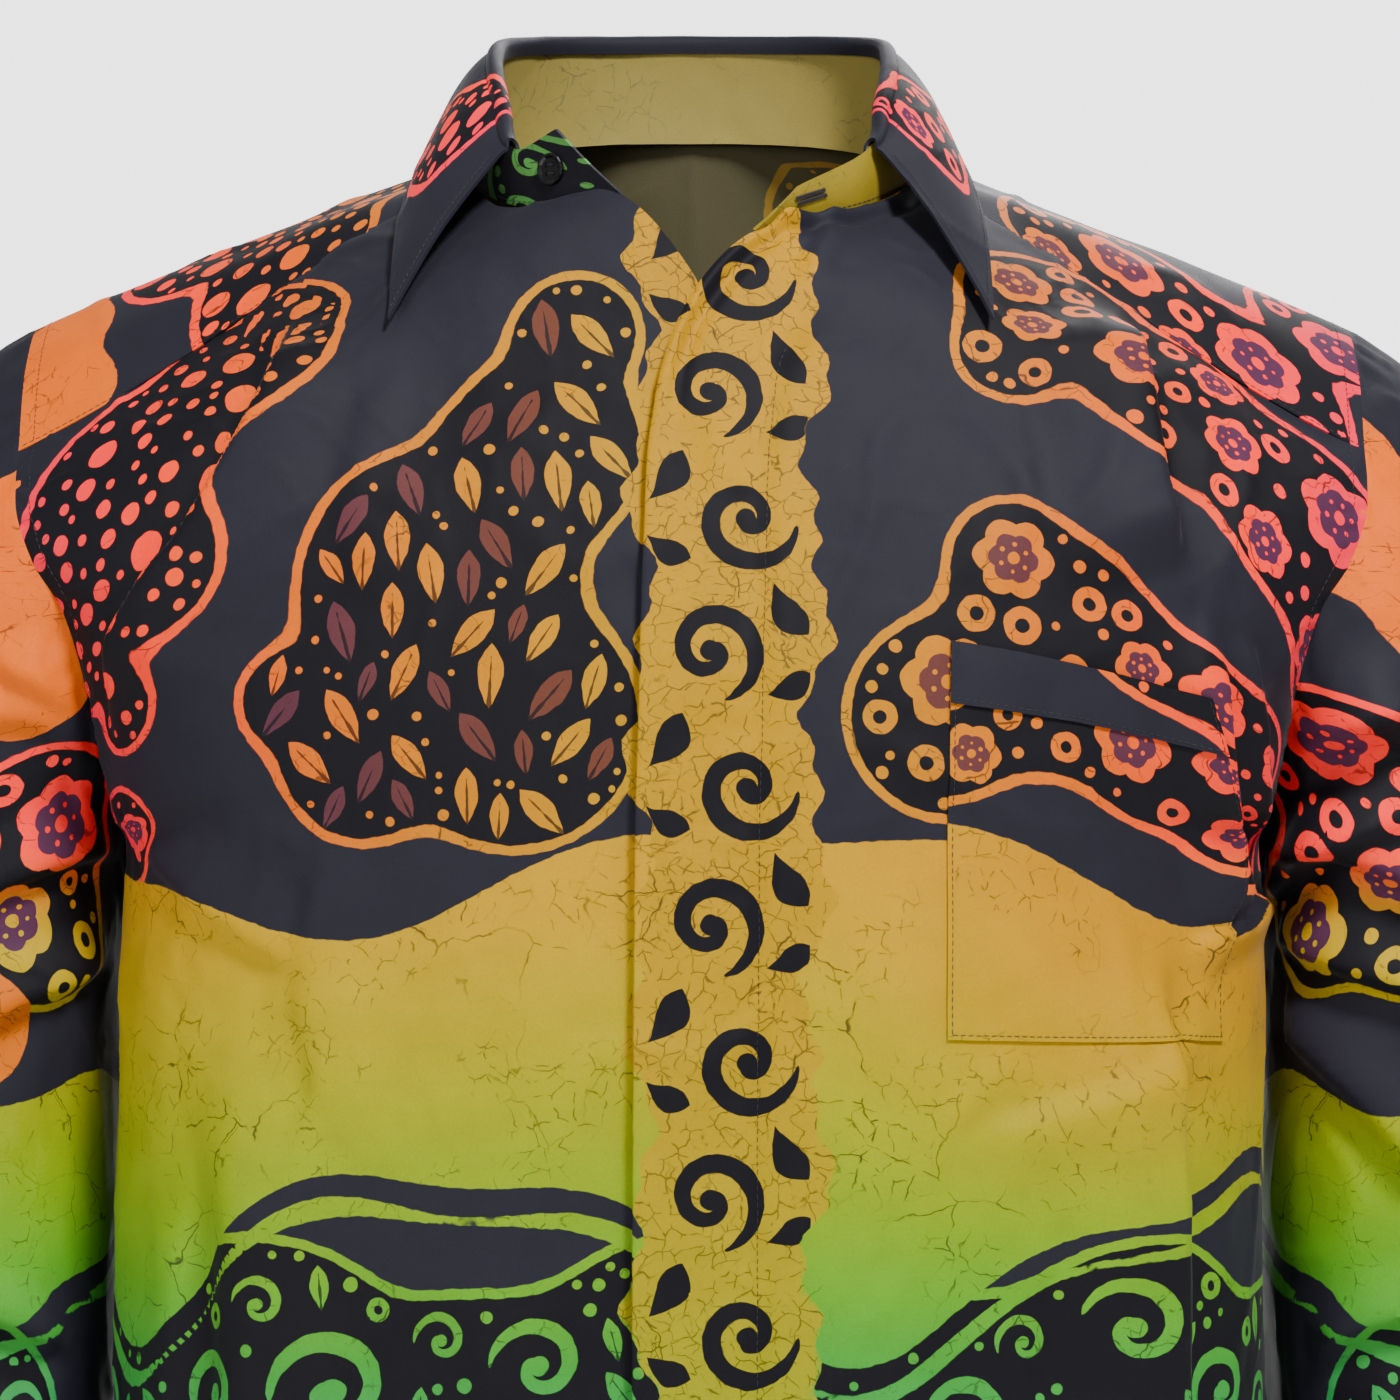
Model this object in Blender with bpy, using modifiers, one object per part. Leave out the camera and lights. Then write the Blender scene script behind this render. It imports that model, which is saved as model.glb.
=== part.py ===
"""A men's long-sleeved batik shirt, filled out as when worn.

Metres, +Z up. The front faces -Y and the wearer's left is +X. The origin is in the middle of
the neck, level with the points where collar and shoulder meet, which is where the wearer's
neck and shoulders carry the shirt.

Every cloth piece is an open sheet of rows with a Solidify wall. A row is a cubic Bezier across
the cloth, from its inner edge (centre front, neck or centre back) to its outer edge (side seam
or armhole). The tables below hold one line for each row, and pieces that are sewn together
share the points of their seam.
"""
import math
from collections import namedtuple

import bmesh
import bpy
from mathutils import Matrix, Vector

# ---- cloth and clearances -------------------------------------------------------------------
WALL = 0.0012              # one layer of shirting
COLLAR_WALL = 0.0015       # collar and cuffs, two layers and an interlining
FLY_WALL = 0.0010          # the strip with the buttonholes
GAP = 0.0003               # between pieces that touch
SEAM_BACK = 0.00035        # how far each panel's edge stays back from a sewn line

# ---- closure --------------------------------------------------------------------------------
BUTTON_RADIUS = 0.0058
BUTTON_THICK = 0.0020
BUTTON_RIM = 0.0009        # width of the raised rim
BUTTON_DISH = 0.0006       # how far the middle is sunk
BUTTON_FACETS = 16
HOLE_RADIUS = 0.0008
HOLE_OFFSET = 0.0015       # hole centre from the button's centre, along X and along Y
FRONT_BUTTONS = 6
FIRST_BUTTON_Z = -0.098
BUTTON_PITCH = 0.094
COLLAR_BUTTON_ALONG = 0.46  # of the way from the stand's end to its next neck point
COLLAR_BUTTON_LIFT = 0.0018  # off the stand's middle line, which the stand bows out from
PLACKET = 0.034            # flat width of the lapped front, from its folded edge
PLACKET_END = 0.050        # where the lapped front lies back on the chest
FLY_INSET = 0.0015         # the hidden strip behind the folded edge
FLY_WIDTH = 0.0400
LAP_LIFT = WALL + FLY_WALL + BUTTON_THICK + 4 * GAP    # left front over the right one

# ---- columns of the front, as distances from its edge; those past the pocket share the rest --
POCKET_SIDE = 0.1045       # the pocket's near side
POCKET_WIDTH = 0.114
POCKET_REACH = 0.72        # the pocket's far column stays within this part of a short row
NEAR_COLUMNS = (0, PLACKET / 2, PLACKET, PLACKET_END, (PLACKET_END + POCKET_SIDE) / 2, POCKET_SIDE)
POCKET_SPANS = 5
ARM_SPANS = 3

# ---- pocket on the wearer's left breast, laid out on the front's own rows and columns -------
POCKET_ROWS = ("chest", "arm_2")
BAND_MESH_ROWS = 1

# ---- front, one half: rows from the hem up to the yoke seam ---------------------------------
# steps: mesh rows up to the next row.
FrontRow = namedtuple("FrontRow", "name steps centre lead trail outer")
FRONT_ROWS = tuple(FrontRow(*line) for line in (
    ("hem", 5, (0, -.152, -.740), (.120, -.153, -.740), (.226, -.122, -.740), (.212, .008, -.740)),
    ("waist", 3, (0, -.152, -.450), (.118, -.153, -.450), (.222, -.120, -.450), (.207, 0, -.450)),
    ("chest", 1, (0, -.151, -.304), (.118, -.152, -.306), (.220, -.118, -.312), (.206, 0, -.315)),
    ("rib", 1, (0, -.150, -.262), (.116, -.151, -.265), (.218, -.117, -.272), (.2053, 0, -.275)),
    ("underarm", 1, (0, -.148, -.232), (.114, -.149, -.235), (.216, -.116, -.243), (.205, 0, -.245)),
    ("arm_1", 2, (0, -.145, -.203), (.108, -.147, -.208), (.213, -.122, -.226), (.2075, -.030, -.237)),
    ("arm_2", 1, (0, -.139, -.167), (.102, -.143, -.173), (.207, -.126, -.196), (.2105, -.054, -.216)),
    ("arm_3", 1, (0, -.130, -.132), (.096, -.136, -.141), (.200, -.126, -.172), (.214, -.070, -.187)),
    ("arm_4", 1, (0, -.119, -.098), (.090, -.126, -.110), (.192, -.122, -.148), (.221, -.077, -.161)),
    ("vee", 1, (0, -.105, -.063), (.078, -.112, -.080), (.184, -.114, -.128), (.231, -.076, -.145)),
    ("stand", 1, (0, -.090, -.022), (.072, -.096, -.042), (.176, -.104, -.106), (.238, -.070, -.128)),
    ("neck", 1, (.061, -.062, -.017), (.098, -.075, -.031), (.172, -.086, -.087), (.240, -.062, -.115)),
    ("yoke_seam", 1, (.080, -.027, -.005), (.118, -.044, -.018), (.170, -.062, -.070), (.2405, -.053, -.103)),
))
# Where the cloth's front edge lies on each row, along it from the centre front (negative is past
# the centre). The left front laps over the right one.
EDGE_LEFT = (-.019, -.019, -.0185, -.0182, -.018, -.0172, -.0165, -.0155, -.0135, -.005, .023, 0, 0)
EDGE_RIGHT = (-.018, -.018, -.018, -.018, -.018, -.018, -.018, -.018, -.018, -.010, .026, 0, 0)
FRONT_NAMES = [row.name for row in FRONT_ROWS]
# The wearer's right front opens a little higher at the neck.
RIGHT_STAND_CENTRE = (0, -.084, -.006)
RIGHT_STAND_LEAD = (.070, -.092, -.032)

# ---- yoke, one half: rows from the front seam over the shoulder to the back seam -------------
YokeRow = namedtuple("YokeRow", "name inner lead trail outer")
YOKE_ROWS = tuple(YokeRow(*line) for line in (
    ("yoke_seam", (.080, -.027, -.005), (.118, -.044, -.018), (.170, -.062, -.070), (.2405, -.053, -.103)),
    ("before_ridge", (.082, -.014, .001), (.124, -.024, -.009), (.183, -.032, -.046), (.2425, -.028, -.074)),
    ("ridge", (.080, 0, .006), (.125, 0, -.008), (.195, 0, -.033), (.243, 0, -.055)),
    ("behind_ridge", (.075, .022, .014), (.122, .027, .002), (.190, .024, -.034), (.243, .018, -.060)),
    ("back_neck_1", (.058, .046, .021), (.110, .058, .001), (.186, .050, -.042), (.2425, .032, -.071)),
    ("back_neck_2", (.032, .061, .025), (.088, .078, -.008), (.180, .074, -.055), (.242, .042, -.081)),
    ("centre_neck", (0, .066, .026), (.052, .079, .000), (.174, .092, -.070), (.2415, .050, -.091)),
    ("centre", (0, .086, -.034), (.074, .093, -.036), (.178, .101, -.082), (.241, .055, -.100)),
    ("back_seam", (0, .101, -.096), (.090, .105, -.096), (.184, .106, -.104), (.240, .059, -.108)),
))

# ---- back, one half: rows from the yoke seam down to the hem ---------------------------------
BackRow = namedtuple("BackRow", "name steps centre lead trail outer")
BACK_ROWS = tuple(BackRow(*line) for line in (
    ("back_seam", 1, (0, .101, -.096), (.090, .105, -.096), (.184, .106, -.104), (.240, .059, -.108)),
    ("arm_6", 1, (0, .108, -.121), (.090, .113, -.121), (.182, .112, -.129), (.236, .068, -.131)),
    ("arm_5", 1, (0, .113, -.144), (.092, .119, -.144), (.182, .116, -.151), (.230, .072, -.154)),
    ("arm_4", 1, (0, .117, -.167), (.096, .123, -.167), (.186, .117, -.173), (.222, .070, -.177)),
    ("arm_3", 1, (0, .121, -.189), (.100, .126, -.189), (.194, .114, -.197), (.214, .060, -.200)),
    ("arm_2", 1, (0, .123, -.210), (.104, .128, -.210), (.202, .110, -.218), (.2085, .043, -.222)),
    ("arm_1", 1, (0, .125, -.228), (.108, .129, -.228), (.206, .104, -.235), (.206, .022, -.238)),
    ("underarm", 1, (0, .126, -.245), (.110, .130, -.245), (.208, .099, -.245), (.205, 0, -.245)),
    ("rib", 1, (0, .127, -.275), (.110, .131, -.275), (.208, .099, -.275), (.2053, 0, -.275)),
    ("chest", 3, (0, .126, -.315), (.110, .129, -.315), (.206, .098, -.315), (.206, 0, -.315)),
    ("waist", 5, (0, .119, -.450), (.108, .122, -.450), (.206, .094, -.450), (.207, 0, -.450)),
    ("hem", 1, (0, .130, -.740), (.112, .133, -.740), (.214, .104, -.740), (.212, .008, -.740)),
))
BACK_NAMES = [row.name for row in BACK_ROWS]

# ---- collar: one half, one line for each neck point, from the front to the centre back -------
# fold: top of the stand, where the fall turns down; drop: the fall's outer edge.
CollarRow = namedtuple("CollarRow", "name fold drop")
COLLAR_ROWS = (
    CollarRow("neck", (.063, -.056, .0045), (.105, -.100, -.060)),
    CollarRow("yoke_seam", (.068, -.037, .0215), (.105, -.072, -.033)),
    CollarRow("before_ridge", (.071, -.020, .0340), (.103, -.042, -.010)),
    CollarRow("ridge", (.072, -.003, .0435), (.099, -.008, .006)),
    CollarRow("behind_ridge", (.070, .020, .0520), (.093, .026, .016)),
    CollarRow("back_neck_1", (.055, .044, .0570), (.076, .060, .020)),
    CollarRow("back_neck_2", (.031, .059, .0595), (.043, .077, .021)),
    CollarRow("centre_neck", (0, .064, .0605), (0, .082, .021)),
)
STAND_TOP_LEFT = (.037, -.081, -.012)      # front top corner of the stand, wearer's left
STAND_TOP_RIGHT = (.048, -.074, .009)      # and wearer's right, mirrored
# The fall's roll over the stand: distance outward from the stand's face, and up from its top.
ROLL = ((-COLLAR_WALL, .0008), (-COLLAR_WALL, .0024), (.0010, .0040), (.0036, .0026))
ROLL_OUT = 0.0042
STAND_BOW = 0.0008         # the stand bows out this much at half its height
FALL_BOW = 0.010           # the fall stands off its straight line this much at the front
FALL_BOW_BACK = 0.018      # and this much at the centre back
FALL_KICK = 0.003          # above its outer edge
FALL_STEPS = (0, .3, .6, 1)  # mesh rows of the fall, as parts of its curve

# ---- sleeve: sections below the armhole, wearer's left ---------------------------------------
SleeveRow = namedtuple("SleeveRow", "name steps centre half_width half_depth")
SLEEVE_ROWS = (
    SleeveRow("biceps", 2, (.2765, .000, -.300), .0650, .070),
    SleeveRow("elbow", 3, (.2755, .004, -.430), .0610, .066),
    SleeveRow("forearm", 2, (.2770, -.012, -.535), .0540, .058),
    SleeveRow("wrist", 1, (.2790, -.028, -.600), .0410, .043),
)
CAP_STEPS = 5               # mesh rings from the armhole to the biceps
CAP_LEAD_TOP = 0.075        # how far the cloth runs on from the shoulder before it turns down
CAP_LEAD_UNDER = 0.016
CAP_ARRIVE_TOP = 0.110      # and how far above the biceps it hangs straight
CAP_ARRIVE_UNDER = 0.020
SLEEVE_OFF = 0.0006         # the sleeve's first ring off the armhole edge
SQUARE_SIDE = 3.0           # superellipse power on the side that lies against the body
VENT_RINGS = 2              # rings of the slit above the cuff
VENT_HALF = 0.0004
CUFF_LENGTH = 0.064
CUFF_HALF_WIDTH = 0.0395
CUFF_HALF_DEPTH = 0.0410
CUFF_FACETS = 24
CUFF_LAP = 4                # facets of the cuff's lapped end

# ---- the largest folds ------------------------------------------------------------------------
# A fold runs from `top` to `foot` as seen from the front (x, z). Its height dies away over
# `inner` towards the centre and over `outer` towards the arm.
Fold = namedtuple("Fold", "name top foot height inner outer")
LEFT_FOLDS = (
    Fold("from_shoulder", (.150, -.060), (.158, -.190), .007, .055, .016),
    Fold("pocket_side", (.170, -.185), (.176, -.275), .005, .030, .018),
    Fold("waist_step", (.150, -.290), (.152, -.700), .007, .050, .016),
    Fold("placket_side", (.062, -.360), (.070, -.690), .003, .030, .030),
)
RIGHT_FOLDS = (
    Fold("from_shoulder", (.140, -.065), (.168, -.140), .008, .060, .018),
    Fold("to_armpit", (.170, -.140), (.200, -.215), .009, .050, .018),
    Fold("hanging", (.150, -.320), (.145, -.700), .006, .040, .028),
    Fold("placket_side", (.075, -.400), (.085, -.690), .003, .030, .030),
)
BACK_FOLDS = (
    Fold("left_blade", (.120, -.150), (.150, -.330), .006, .040, .030),
    Fold("left_hanging", (.110, -.380), (.100, -.710), .007, .035, .035),
    Fold("right_blade", (-.135, -.140), (-.160, -.300), .006, .040, .030),
    Fold("right_hanging", (-.090, -.360), (-.110, -.700), .006, .040, .030),
    Fold("middle", (.010, -.420), (.000, -.700), .004, .040, .040),
)
FOLD_FADE = 0.030           # a fold dies away over this distance from the outer seam
BACK_COLUMNS = 10           # each half
YOKE_COLUMNS = 9            # each half

COLOURS = {
    "batik_cotton": ((.022, .021, .032), .62),
    "dark_plastic": ((.012, .011, .014), .22),
}


# ---- curves -----------------------------------------------------------------------------------
def bezier(control, t):
    """The point at t on the cubic Bezier through four control points."""
    a, b, c, d = control
    s = 1 - t
    return s * s * s * a + 3 * s * s * t * b + 3 * s * t * t * c + t * t * t * d


def smooth(values, at):
    """The value at index `at` of a smooth curve through equally spaced values."""
    last = len(values) - 1
    i = min(int(at), last - 1)
    t = at - i
    here, there = values[i], values[i + 1]
    leave = (there - values[i - 1]) * .5 if i else there - here
    arrive = (values[i + 2] - here) * .5 if i + 2 <= last else there - here
    t2, t3 = t * t, t * t * t
    return ((2 * t3 - 3 * t2 + 1) * here + (t3 - 2 * t2 + t) * leave
            + (3 * t2 - 2 * t3) * there + (t3 - t2) * arrive)


def ease(t):
    """0 to 1 with level ends."""
    t = min(max(t, 0.0), 1.0)
    return t * t * (3 - 2 * t)


class RowCurve:
    """One row of cloth, read by the distance along it."""

    SAMPLES = 64

    def __init__(self, control):
        self.points = [bezier(control, k / self.SAMPLES) for k in range(self.SAMPLES + 1)]
        self.reach = [0.0]
        for before, after in zip(self.points, self.points[1:]):
            self.reach.append(self.reach[-1] + (after - before).length)
        self.length = self.reach[-1]

    def at(self, distance):
        """A distance below 0 runs on past the centre, as the mirror image of the row."""
        if distance < 0:
            point = self.at(-distance)
            return Vector((-point.x, point.y, point.z))
        distance = min(distance, self.length)
        k = 0
        while k < self.SAMPLES - 1 and self.reach[k + 1] < distance:
            k += 1
        span = self.reach[k + 1] - self.reach[k]
        return self.points[k].lerp(self.points[k + 1], (distance - self.reach[k]) / span)


class Form:
    """A surface lofted through rows, read by row number and by distance along the row."""

    STEP = 0.004

    def __init__(self, rows, inner, folds=()):
        controls = [[Vector(getattr(row, key)) for key in (inner, "lead", "trail", "outer")]
                    for row in rows]
        self.controls = list(zip(*controls))
        self.last = len(rows) - 1
        self.folds = folds
        self.cache = {}

    def row(self, v):
        v = min(max(v, 0.0), float(self.last))
        if v not in self.cache:
            self.cache[v] = RowCurve([smooth(column, v) for column in self.controls])
        return self.cache[v]

    def plain(self, v, distance):
        return self.row(v).at(distance)

    def normal(self, v, distance):
        """Away from the body, which has its axis near x = 0, y = 0."""
        dv = .04
        along = self.plain(v, distance + self.STEP) - self.plain(v, distance - self.STEP)
        up = self.plain(v + dv, distance) - self.plain(v - dv, distance)
        normal = along.cross(up).normalized()
        here = self.plain(v, distance)
        return normal if normal.dot(Vector((here.x, here.y, .05))) > 0 else -normal

    def point(self, v, distance, lift=0.0):
        """A point of the cloth: folds die away towards the sewn edges."""
        here = self.plain(v, distance)
        sewn = ease((self.row(v).length - distance) / FOLD_FADE) * ease((self.last - v) / 1.5)
        folds = sum(fold_height(fold, here.x, here.z) for fold in self.folds)
        return here + self.normal(v, distance) * (lift + folds * sewn)

    def row_at(self, z, distance):
        """The row number whose point at this distance is at height z."""
        low, high = 0.0, float(self.last)
        rising = self.plain(high, distance).z > self.plain(low, distance).z
        for _ in range(40):
            middle = (low + high) / 2
            if (self.plain(middle, distance).z < z) == rising:
                low = middle
            else:
                high = middle
        return (low + high) / 2


def fold_height(fold, x, z):
    """How far a fold lifts the cloth at x, z: a soft ridge with one steep side."""
    top_x, top_z = fold.top
    foot_x, foot_z = fold.foot
    along = (top_z - z) / (top_z - foot_z)
    ends = ease(along / .25 + .6) * ease((1 - along) / .25 + .6)
    off = x - (top_x + (foot_x - top_x) * along)
    side = -1 if top_x + foot_x < 0 else 1
    off *= side
    width = fold.outer if off > 0 else fold.inner
    return fold.height * ends * (1 - ease(abs(off) / width))


def stations(rows):
    """Row numbers of the mesh rows, from each row's steps."""
    numbers = []
    for k, row in enumerate(rows[:-1]):
        numbers += [k + j / row.steps for j in range(row.steps)]
    return numbers + [len(rows) - 1]


# ---- making objects ---------------------------------------------------------------------------
def clear_scene():
    for thing in list(bpy.data.objects):
        bpy.data.objects.remove(thing, do_unlink=True)


def collection(name):
    made = bpy.data.collections.new(name)
    bpy.context.scene.collection.children.link(made)
    return made


def material(name):
    if name in bpy.data.materials:
        return bpy.data.materials[name]
    colour, roughness = COLOURS[name]
    made = bpy.data.materials.new(name)
    made.use_nodes = True
    shader = made.node_tree.nodes["Principled BSDF"]
    shader.inputs["Base Color"].default_value = (*colour, 1)
    shader.inputs["Roughness"].default_value = roughness
    shader.inputs["Metallic"].default_value = 0
    return made


def link(name, mesh, group, finish):
    thing = bpy.data.objects.new(name, mesh)
    mesh.materials.append(material(finish))
    group.objects.link(thing)
    return thing


def sheet(name, grid, wall, group, mirrored=False, weld_ends=False, half=False):
    """A grid primitive moved onto rows of points, then given a wall behind its face.

    mirrored makes the other side's piece, weld_ends closes the first column onto the last
    where they meet, and half adds the other half of a piece across the centre.
    """
    rows, columns = len(grid), len(grid[0])
    shape = bmesh.new()
    bmesh.ops.create_grid(shape, x_segments=columns - 1, y_segments=rows - 1, size=1)
    for vert in shape.verts:
        column = round((vert.co.x + 1) / 2 * (columns - 1))
        row = round((vert.co.y + 1) / 2 * (rows - 1))
        vert.co = grid[row][column]
    if weld_ends:
        bmesh.ops.remove_doubles(shape, verts=shape.verts, dist=.00001)
    if mirrored:
        bmesh.ops.transform(shape, matrix=Matrix.Scale(-1, 4, (1, 0, 0)), verts=shape.verts)
        bmesh.ops.reverse_faces(shape, faces=shape.faces)
    mesh = bpy.data.meshes.new(name)
    shape.to_mesh(mesh)
    shape.free()
    mesh.shade_smooth()
    thing = link(name, mesh, group, "batik_cotton")
    if half:
        other = thing.modifiers.new("other half", "MIRROR")
        other.use_axis = (True, False, False)
        other.merge_threshold = .0001
    thickness = thing.modifiers.new("cloth", "SOLIDIFY")
    thickness.thickness = wall
    thickness.offset = -1
    return thing


def draw_back(grid, top=0.0, bottom=0.0, first=0.0, last=0.0):
    """Move a sheet's edges back from their seams, along the cloth."""
    moves = ((0, 1, bottom, False), (-1, -2, top, False), (0, 1, first, True), (-1, -2, last, True))
    for edge, beside, distance, is_column in moves:
        if not distance:
            continue
        count = len(grid) if is_column else len(grid[0])
        for k in range(count):
            row, column = (k, edge) if is_column else (edge, k)
            next_row, next_column = (k, beside) if is_column else (beside, k)
            here, there = grid[row][column], grid[next_row][next_column]
            grid[row][column] = here + (there - here).normalized() * distance
    return grid


# ---- fronts -----------------------------------------------------------------------------------
def front_form(left):
    rows = FRONT_ROWS
    if not left:
        rows = tuple(row._replace(centre=RIGHT_STAND_CENTRE, lead=RIGHT_STAND_LEAD)
                     if row.name == "stand" else row for row in rows)
    return Form(rows, "centre", LEFT_FOLDS if left else RIGHT_FOLDS)


def lap_lift(v, from_edge):
    """How far the left front stands over the right one, from its folded edge to the chest."""
    fade = min(max(FRONT_NAMES.index("stand") - v, 0.0), 1.0)
    slope = min(max((PLACKET_END - from_edge) / (PLACKET_END - PLACKET), 0.0), 1.0)
    return LAP_LIFT * fade * slope


def front_columns(length):
    """Distances of the mesh columns from the front edge, on a row of this length."""
    far = min(POCKET_SIDE + POCKET_WIDTH, POCKET_REACH * length)
    over = [POCKET_SIDE + (far - POCKET_SIDE) * (k + 1) / POCKET_SPANS for k in range(POCKET_SPANS)]
    past = [far + (length - far) * (k + 1) / ARM_SPANS for k in range(ARM_SPANS)]
    return list(NEAR_COLUMNS) + over + past


def front_grid(form, left, off_cloth=0.0):
    """The front's points, in rows from the hem up and columns from the front edge."""
    grid = []
    for v in stations(FRONT_ROWS):
        edge = smooth(EDGE_LEFT if left else EDGE_RIGHT, v)
        offs = front_columns(form.row(v).length - edge)
        lifts = [off_cloth + (lap_lift(v, off) if left else 0.0) for off in offs]
        grid.append([form.point(v, edge + off, lift) for off, lift in zip(offs, lifts)])
    return grid


def make_fronts(group):
    for left in (True, False):
        name = "front_left" if left else "front_right"
        grid = draw_back(front_grid(front_form(left), left), top=SEAM_BACK, last=SEAM_BACK)
        sheet(name, grid, WALL, group, mirrored=not left)


def make_fly(group):
    """The strip with the buttonholes, behind the left front's folded edge."""
    form = front_form(True)
    top = FRONT_NAMES.index("vee")
    offs = (FLY_INSET, PLACKET / 2, PLACKET, FLY_INSET + FLY_WIDTH)
    grid = []
    for v in stations(FRONT_ROWS):
        if v > top:
            break
        edge = smooth(EDGE_LEFT, v)
        grid.append([form.point(v, edge + off, lap_lift(v, off) - WALL - GAP) for off in offs])
    sheet("fly_placket", draw_back(grid, bottom=.002), FLY_WALL, group)


# ---- pocket -----------------------------------------------------------------------------------
def make_pocket(group):
    """The pocket is the front's own points moved out, and the band is the pocket's."""
    form = front_form(True)
    numbers = stations(FRONT_ROWS)
    low, high = (numbers.index(FRONT_NAMES.index(name)) for name in POCKET_ROWS)
    first = NEAR_COLUMNS.index(POCKET_SIDE)
    last = first + POCKET_SPANS
    for name, layers, bottom in (("pocket", 1, low), ("pocket_band", 2, high - BAND_MESH_ROWS)):
        grid = front_grid(form, True, layers * (GAP + WALL))
        block = [line[first:last + 1] for line in grid[bottom:high + 1]]
        sheet(name, block, WALL, group)


# ---- yoke and back ----------------------------------------------------------------------------
def yoke_grid():
    form = Form(YOKE_ROWS, "inner")
    return [[form.point(v, form.row(v).length * k / YOKE_COLUMNS)
             for k in range(YOKE_COLUMNS + 1)] for v in range(len(YOKE_ROWS))]


def back_half(form, side):
    grid = []
    for v in stations(BACK_ROWS):
        line = []
        for k in range(BACK_COLUMNS + 1):
            distance = form.row(v).length * k / BACK_COLUMNS
            here = form.plain(v, distance)
            height = sum(fold_height(fold, here.x * side, here.z) for fold in BACK_FOLDS)
            sewn = ease((form.row(v).length - distance) / FOLD_FADE) * ease(v / 1.5)
            moved = here + form.normal(v, distance) * height * sewn
            line.append(Vector((moved.x * side, moved.y, moved.z)))
        grid.append(line)
    return grid


def make_yoke_and_back(group):
    grid = draw_back(yoke_grid(), bottom=SEAM_BACK, top=SEAM_BACK, last=SEAM_BACK)
    sheet("yoke", grid, WALL, group, half=True)
    form = Form(BACK_ROWS, "centre")
    left, right = back_half(form, 1), back_half(form, -1)
    whole = [a[::-1] + b[1:] for a, b in zip(left, right)]
    whole = draw_back(whole[::-1], top=SEAM_BACK, first=SEAM_BACK, last=SEAM_BACK)
    sheet("back", whole, WALL, group)


# ---- collar -----------------------------------------------------------------------------------
def neck_points(left):
    """The sewn neck edge on one side, from the front to the centre back, x positive."""
    form = front_form(left)
    stand = FRONT_NAMES.index("stand")
    edge = (EDGE_LEFT if left else EDGE_RIGHT)[stand]
    points = [form.point(stand, edge), form.point(stand + 1, 0)]
    return points + [Vector(row.inner) for row in YOKE_ROWS[:7]]


def collar_columns():
    """(neck point, fold point, fall's edge or None) round the neck, from right to left."""
    sides = []
    for left in (False, True):
        corner = Vector(STAND_TOP_LEFT if left else STAND_TOP_RIGHT)
        folds = [corner] + [Vector(row.fold) for row in COLLAR_ROWS]
        drops = [None] + [Vector(row.drop) for row in COLLAR_ROWS]
        columns = list(zip(neck_points(left), folds, drops))
        if not left:
            columns = [[Vector((-p.x, p.y, p.z)) if p else None for p in column]
                       for column in columns]
        sides.append(columns)
    right, left = sides
    return right + left[-2::-1]


def make_collar(group):
    columns = collar_columns()
    stand, fall = [[], [], []], [[] for _ in (*ROLL, *FALL_STEPS)]
    middle = (len(columns) - 1) / 2
    for k, (neck, fold, drop) in enumerate(columns):
        rise = (fold - neck).normalized()
        before = columns[max(k - 1, 0)][0]
        after = columns[min(k + 1, len(columns) - 1)][0]
        outward = (after - before).cross(rise).normalized()
        if outward.dot(Vector((neck.x, neck.y, 0))) < 0:
            outward = -outward
        foot = neck + rise * GAP
        stand[0].append(foot)
        stand[1].append(foot.lerp(fold, .5) + outward * STAND_BOW)
        stand[2].append(fold)
        if drop is None:
            continue
        turned = fold + outward * ROLL_OUT
        bow = FALL_BOW_BACK + (FALL_BOW - FALL_BOW_BACK) * abs(k - middle) / middle
        control = (turned, turned.lerp(drop, .3) + outward * bow / 2,
                   turned.lerp(drop, .7) + outward * FALL_KICK, drop)
        line = [fold + outward * out + rise * up for out, up in ROLL]
        line += [bezier(control, t) for t in FALL_STEPS]
        for row, point in zip(fall, line):
            row.append(point)
    sheet("collar_stand", [line[::-1] for line in stand], COLLAR_WALL, group)
    sheet("collar_fall", fall, WALL, group)


# ---- sleeves and cuffs ------------------------------------------------------------------------
def armhole():
    """The sewn armhole edge, from the back yoke corner down, under the arm and up the front."""
    front = [line[-1] for line in front_grid(front_form(True), True)]
    under = stations(FRONT_ROWS).index(FRONT_NAMES.index("underarm"))
    yoke = [line[-1] for line in yoke_grid()]
    back = [line[-1] for line in back_half(Form(BACK_ROWS, "centre"), 1)]
    back = back[:BACK_NAMES.index("underarm") + 1]
    return back + front[under + 1:] + yoke[1:]


def ring_point(section_centre, half_width, half_depth, turn):
    """A point of a sleeve section: turn 0 is against the body, a quarter is the front."""
    angle = 2 * math.pi * turn
    across, forward = -math.cos(angle), -math.sin(angle)
    power = 2 + (SQUARE_SIDE - 2) * max(0.0, -across)
    shape = [math.copysign(abs(part) ** (2 / power), part) for part in (across, forward)]
    return section_centre + Vector((half_width * shape[0], half_depth * shape[1], 0))


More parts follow.
